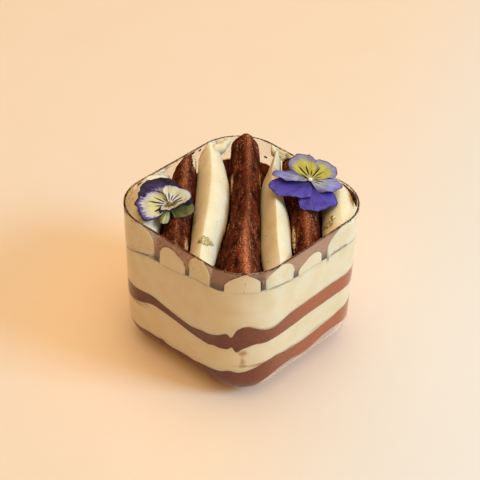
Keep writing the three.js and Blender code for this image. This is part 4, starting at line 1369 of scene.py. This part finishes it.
# %% Petal finishes
# For each look: colours at the throat, over the body, at the margin, of the thin edge and of the veins.
# fade and rim are the rings between which throat turns to body and body to margin, feather how raggedly;
# a halo is a paler ring before the margin; edge_at is where the edge begins; whiskers and veins are counts,
# whisker_end the ring the strokes reach. What a look leaves out is as in USUAL_LOOK.
USUAL_LOOK = {"feather": 0.3, "edge_at": 0.96, "whiskers": 0}
PETAL_LOOKS = {
    "yellow_lip": {
        "throat": (0.62, 0.50, 0.22), "body": (0.60, 0.52, 0.075), "margin": (0.27, 0.26, 0.45),
        "edge": (0.09, 0.05, 0.16), "fade": (0.1, 0.25), "rim": (0.62, 0.9),
        "edge_at": 0.95, "whiskers": 4, "whisker_end": 0.58, "veins": 26, "vein": (0.26, 0.22, 0.10),
        "vein_weight": 0.3},
    "pale_side": {
        "throat": (0.56, 0.55, 0.52), "body": (0.37, 0.38, 0.56), "margin": (0.23, 0.20, 0.55),
        "edge": (0.06, 0.04, 0.12), "fade": (0.25, 0.6), "rim": (0.6, 1.0),
        "whiskers": 4, "whisker_end": 0.40, "veins": 22, "vein": (0.17, 0.14, 0.38),
        "vein_weight": 0.5},
    "violet": {
        "throat": (0.05, 0.032, 0.22), "body": (0.088, 0.062, 0.40), "margin": (0.115, 0.085, 0.46),
        "edge": (0.03, 0.012, 0.09), "fade": (0.2, 0.55), "rim": (0.6, 1.0),
        "veins": 24, "vein": (0.045, 0.02, 0.19),
        "vein_weight": 0.7},
    "night": {
        "throat": (0.52, 0.49, 0.60), "body": (0.045, 0.02, 0.15), "margin": (0.017, 0.005, 0.02),
        "edge": (0.012, 0.004, 0.012), "fade": (0.58, 0.70), "rim": (0.70, 0.84),
        "veins": 34, "vein": (0.10, 0.06, 0.20),
        "vein_weight": 0.4},
    "night_right": {
        "throat": (0.05, 0.02, 0.10), "body": (0.04, 0.014, 0.06), "margin": (0.022, 0.007, 0.024),
        "edge": (0.012, 0.004, 0.012), "fade": (0.3, 0.6), "rim": (0.7, 0.84),
        "veins": 34, "vein": (0.08, 0.04, 0.14),
        "vein_weight": 0.3},
    "cream_white": {
        "throat": (0.80, 0.77, 0.74), "body": (0.70, 0.67, 0.44), "margin": (0.60, 0.55, 0.62),
        "edge": (0.30, 0.20, 0.40), "fade": (0.35, 0.6), "rim": (0.8, 1.0),
        "edge_at": 0.97, "whiskers": 6, "whisker_end": 0.66, "veins": 24, "vein": (0.45, 0.42, 0.30),
        "vein_weight": 0.25},
    "cream_violet": {
        "throat": (0.74, 0.70, 0.66), "body": (0.72, 0.68, 0.33), "margin": (0.10, 0.055, 0.27),
        "edge": (0.022, 0.008, 0.05), "fade": (0.12, 0.4), "rim": (0.76, 0.88), "feather": 0.45,
        "halo": (0.60, 0.56, 0.66), "edge_at": 0.92, "whiskers": 6, "whisker_end": 0.62, "veins": 24,
        "vein": (0.50, 0.44, 0.26), "vein_weight": 0.3},
    "cream_green": {
        "throat": (0.50, 0.50, 0.16), "body": (0.62, 0.60, 0.28), "margin": (0.50, 0.52, 0.22),
        "edge": (0.40, 0.38, 0.22), "fade": (0.2, 0.6), "rim": (0.7, 1.0), "feather": 0.2,
        "edge_at": 0.97, "veins": 20, "vein": (0.34, 0.36, 0.12),
        "vein_weight": 0.4},
    "olive": {
        "throat": (0.10, 0.11, 0.03), "body": (0.16, 0.15, 0.04), "margin": (0.21, 0.16, 0.085),
        "edge": (0.04, 0.02, 0.02), "fade": (0.2, 0.6), "rim": (0.7, 1.0), "feather": 0.2,
        "edge_at": 0.95, "veins": 22, "vein": (0.08, 0.08, 0.025),
        "vein_weight": 0.5},
    "curled_lip": {
        "throat": (0.24, 0.15, 0.02), "body": (0.62, 0.56, 0.38), "margin": (0.62, 0.54, 0.52),
        "edge": (0.012, 0.005, 0.015), "fade": (0.3, 0.55), "rim": (0.6, 0.8), "feather": 0.15,
        "edge_at": 0.78, "whiskers": 9, "whisker_end": 0.66, "veins": 24, "vein": (0.40, 0.34, 0.25),
        "vein_weight": 0.3},
}
WHISKER_TONE = (0.012, 0.006, 0.008)


def petal_finish(name, look):
    """Paints a petal by its span and ring. A line drawn along the growth is where the sine of the span
    crosses zero, so the number of lines is the sine's frequency."""
    petal = Finish("petal_" + name)
    span, ring = petal.mask("span"), petal.mask("ring")
    grown = petal.node("ShaderNodeCombineXYZ", {}, {0: span * 26.0, 1: ring * 2.5, 2: 0.0})
    streaks = petal.node("ShaderNodeTexNoise", {}, {"Vector": grown, "Scale": 1.0, "Detail": 3})
    tone = petal.mix(petal.step(ring + (streaks - 0.5) * 0.3, *look["fade"]), look["throat"], look["body"])
    ragged = ring + (streaks - 0.5) * look["feather"]
    if "halo" in look:
        start = look["rim"][0]
        tone = petal.mix(petal.step(ragged, start - 0.16, start + 0.02), tone, look["halo"])
    rim = petal.step(ragged, *look["rim"])
    tone = petal.mix(rim, tone, look["margin"])
    wave = petal.math("ABSOLUTE", petal.math("SINE", span * (math.pi * look["veins"]) + streaks * 5))
    veins = 1 - petal.step(wave, 0.05, 0.6)
    tone = petal.mix(veins * look["vein_weight"], tone, look["vein"])
    cloud = petal.step(petal.noise(3.2, detail=2), 0.45, 0.65)
    tone = petal.mix(cloud * look["vein_weight"] * 0.6, tone, look["vein"])
    if look["whiskers"]:
        wave = petal.math("ABSOLUTE", petal.math("SINE", span * (math.pi * look["whiskers"]) + streaks))
        uneven = petal.math("SINE", span * (math.pi * look["whiskers"] * 0.6)) * 0.1
        reach = 1 - petal.step(ring + uneven + wave * 0.3, look["whisker_end"] - 0.1, look["whisker_end"])
        thin = ring * 0.5 + wave
        strokes = (1 - petal.step(thin, 0.6, 0.86)) * reach * petal.step(ring, 0.1, 0.16)
        tone = petal.mix(strokes, tone, WHISKER_TONE)
    along_sides = petal.math("ABSOLUTE", span - 0.5) * 2.0
    outer = petal.math("MAXIMUM", ring, petal.step(ring, 0.55, 0.8) * along_sides)
    edge = petal.step(outer + (streaks - 0.5) * 0.06, look["edge_at"], look["edge_at"] + 0.025)
    tone = petal.mix(edge, tone, look["edge"])
    relief = veins * 0.5 + streaks * 0.5
    return petal.close(petal.surface(
        Base_Color=tone, Roughness=0.62, Normal=petal.bump(relief, 0.12), Specular_IOR_Level=0.25,
        Subsurface_Weight=0.12, Subsurface_Radius=(0.6, 0.4, 0.6), Subsurface_Scale=0.0006))


PETAL_FINISHES = {name: petal_finish(name, {**USUAL_LOOK, **look}) for name, look in PETAL_LOOKS.items()}
print("Petal finishes:", ", ".join(PETAL_FINISHES))

# %% [markdown]
# ## Petals, throat and calyx
# A flower's plane leans towards the front corner. Angle 0 points across to the right and 90 away from the
# front corner. Under the petals sits a green calyx, out of sight from above, which carries them.

# %% Flowers
PETAL_THICK = 0.32
PETAL_EDGE = 0.08
PETAL_ROOT = 0.5
PETAL_SPANS = 81
PETAL_RINGS = 41
FLOWERS = [
    {"name": "viola_right", "slot": "violet_petal", "centre": (26.4, -7.6, 67.0), "lean": 12,
     "throat": (0.88, 0.82, 0.62), "petals": [
        {"look": "yellow_lip", "from": 2, "to": 78, "base": 0.4, "rise": 0.9, "bend": -0.7, "ruffle": 0.4,
         "reach": [9.5, 10.8, 11.5, 12, 12.3, 12.4, 12.2, 11.2, 8.8]},
        {"look": "yellow_lip", "from": 60, "to": 148, "base": 0.7, "rise": 0.9, "bend": -0.7, "ruffle": 0.4,
         "reach": [8, 9.5, 11.4, 13.1, 13.8, 13.5, 12.7, 11.6, 9]},
        {"look": "pale_side", "from": 154, "to": 198, "base": 0.1, "rise": 1.6, "bend": 0.4, "ruffle": 0.2,
         "reach": [8.5, 12.3, 15.2, 12, 9, 6.5]},
        {"look": "pale_side", "from": -66, "to": 12, "base": 0.1, "rise": 0.8, "bend": -0.5, "ruffle": 0.4,
         "reach": [5.6, 8.2, 10, 11.7, 12.9, 10.6, 7.5]},
        {"look": "violet", "from": -188, "to": -84, "base": -0.3, "rise": 0.0, "bend": 0.5, "ruffle": 0.5,
         "reach": [13.5, 16.3, 15.2, 13.4, 11.6, 10, 9, 7.5]},
        {"look": "violet", "from": -122, "to": -30, "base": -0.6, "rise": -0.5, "bend": 0.4, "ruffle": 0.6,
         "reach": [10.3, 13.2, 14.8, 15.4, 15.3, 15, 13.8, 10.6]}]},
    {"name": "viola_left", "slot": "pale_petal", "centre": (-27.6, 5.5, 65.2), "lean": 16,
     "throat": (0.25, 0.17, 0.02), "petals": [
        {"look": "night", "from": 70, "to": 172, "base": -0.8, "rise": 0.3, "bend": 0.4, "ruffle": 0.6,
         "reach": [10, 12.2, 14.3, 14.4, 14.1, 13, 12]},
        {"look": "night_right", "from": -2, "to": 92, "base": -0.4, "rise": 0.5, "bend": 0.3, "ruffle": 0.4,
         "reach": [9, 9.4, 9, 9.5, 10.9, 11.5]},
        {"look": "cream_white", "from": -14, "to": 118, "base": 0.5, "rise": 0.6, "bend": 0.6,
         "ruffle": 0.3, "reach": [5.2, 7.6, 8.7, 8.1, 7.9, 7.8, 8, 6.5]},
        {"look": "cream_violet", "from": 112, "to": 238, "base": 0, "rise": 0.4, "bend": 0.5, "ruffle": 0.5,
         "reach": [5, 7.5, 10.9, 11.7, 12.9, 12.4, 12.3, 12.3, 9.5]},
        {"look": "cream_green", "from": -124, "to": -88, "base": -0.5, "rise": -0.6, "bend": -0.4,
         "ruffle": 0.3, "reach": [6.5, 8.0, 8.3, 7.4, 5.5]},
        {"look": "olive", "from": -74, "to": 12, "base": -0.5, "rise": -0.4, "bend": 0.6, "ruffle": 0.4,
         "reach": [6, 7.8, 9.2, 9.9, 8.8]},
        {"look": "curled_lip", "from": -150, "to": 14, "base": 0.7, "rise": 0.7, "bend": 0.4,
         "ruffle": 0.2, "reach": [4.8, 5.8, 4.3, 4.6, 4, 4.3, 5, 6.3, 8.6]}]},
]
# In mm along the flower's normal, from its middle
CALYX_TOP = -1.0
CALYX_DROP = 2.3
CALYX_RADIUS = 2.2
THROAT_HEIGHT = 0.9
THROAT_RISE = 0.55
THROAT_RADIUS = 0.9
GREEN = (0.10, 0.18, 0.04)
GREEN_DARK = (0.05, 0.10, 0.025)
print("Flowers:", ", ".join(flower["name"] for flower in FLOWERS))

# %% [markdown]
# ## From the petal to the cup
# A petal is easiest to draw flat, with the flower's middle at nought. Three directions then carry it to its
# place: the flower's right, its back and its normal, tipped by the lean.


# %% Petal meshes
def flower_axes(flower):
    """The flower's right, back and normal directions, and its middle."""
    lean = math.radians(flower["lean"])
    right, away = on_plan(1, 0, 0), on_plan(0, -1, 0)
    back = away * math.cos(lean) + np.array([0, 0, math.sin(lean)])
    return right, back, np.cross(right, back), on_plan(*flower["centre"])


def in_flower(flower, right_part, back_part, up_part):
    right, back, normal, middle = flower_axes(flower)
    return middle + right_part[..., None] * right + back_part[..., None] * back + up_part[..., None] * normal


def petal_rows(petal, span, ring, side):
    """Right, back and up parts of one side of a petal. Its outline is rounded at both ends of the span,
    its edge ripples, and side is 1 for the upper face and 0 for the lower."""
    start, end = math.radians(petal["from"]), math.radians(petal["to"])
    rounding = 1 - 0.12 * (np.abs(2 * span - 1) ** 10)
    full = through(petal["reach"], span) * rounding
    angle = blend(start, end, span)
    circle = np.stack([np.cos(angle) * full, np.sin(angle) * full, 0 * full + petal["base"] * 7], -1)
    full = full * (1 + 0.035 * lumps(circle, 2.2, 3))
    reach = blend(PETAL_ROOT, full, ring)
    place = np.stack([np.cos(angle) * reach, np.sin(angle) * reach, 0 * reach + petal["base"] * 9], -1)
    ruffle = petal["ruffle"] * ring ** 2 * np.sin(2.5 * np.pi * span + start)
    ripple = 0.6 * smooth(ring, 0.4, 1) * lumps(place, 3.2, 2)
    folds = (0.05 * np.sin(2 * np.pi * 13 * span) + 0.22 * np.sin(2 * np.pi * 3.3 * span + start * 3)) * ring
    height = petal["base"] + petal["rise"] * ring + petal["bend"] * ring ** 2 + ruffle + ripple + folds
    thick = blend(PETAL_THICK, PETAL_EDGE, smooth(ring, 0.8, 1))
    return place[..., 0], place[..., 1], height + thick * side


def make_petal(flower, petal, number):
    """A thin shell: each row runs out over the upper face and back under the lower one."""
    span = np.linspace(0, 1, PETAL_SPANS)[:, None] + np.zeros(PETAL_RINGS)
    ring = np.linspace(0, 1, PETAL_RINGS) + np.zeros((PETAL_SPANS, 1))
    upper = in_flower(flower, *petal_rows(petal, span, ring, 1))
    lower = in_flower(flower, *petal_rows(petal, span, ring, 0))
    rows = np.concatenate([upper, lower[:, ::-1]], 1)
    masks = {"span": there_and_back(span), "ring": there_and_back(ring)}
    skin_piece(f"{flower['name']}_petal_{number}", flower["name"], rows, PETAL_FINISHES[petal["look"]],
               flower["slot"], masks)


def plain_finish(name, tones, size, roughness):
    """Two tones in soft noise."""
    finish = Finish(name)
    tone = finish.mix(finish.step(finish.noise(size), 0.4, 0.6), *tones)
    return finish.close(finish.surface(Base_Color=tone, Roughness=roughness,
                                       Normal=finish.bump(finish.noise(size / 2), 0.1)))


def lathe(flower, radius, height):
    """Rows of circles about the flower's normal, each with a radius at a height."""
    angle = np.arange(40) / 40 * 2 * np.pi
    return in_flower(flower, radius[:, None] * np.cos(angle), radius[:, None] * np.sin(angle),
                     height[:, None] + 0 * angle)


CALYX_FINISH = plain_finish("calyx_green", (GREEN, GREEN_DARK), 1.2, 0.6)


def make_hearts(flower):
    """A flower's calyx and throat, two small rounded bodies turned about its normal."""
    name, tone = flower["name"], flower["throat"]
    bend = np.linspace(0.02, np.pi - 0.02, 24)
    calyx = lathe(flower, CALYX_RADIUS * np.sin(bend), CALYX_TOP - CALYX_DROP / 2 * (1 - np.cos(bend)))
    skin_piece(name + "_calyx", name, calyx, CALYX_FINISH, flower["slot"])
    throat = lathe(flower, THROAT_RADIUS * np.sin(bend), THROAT_HEIGHT + THROAT_RISE * np.cos(bend))
    finish = plain_finish(name + "_throat", (tone, tuple(0.8 * part for part in tone)), 0.5, 0.5)
    skin_piece(name + "_throat", name, throat, finish, flower["slot"])


for flower in FLOWERS:
    for number, petal in enumerate(flower["petals"], 1):
        make_petal(flower, petal, number)
    make_hearts(flower)
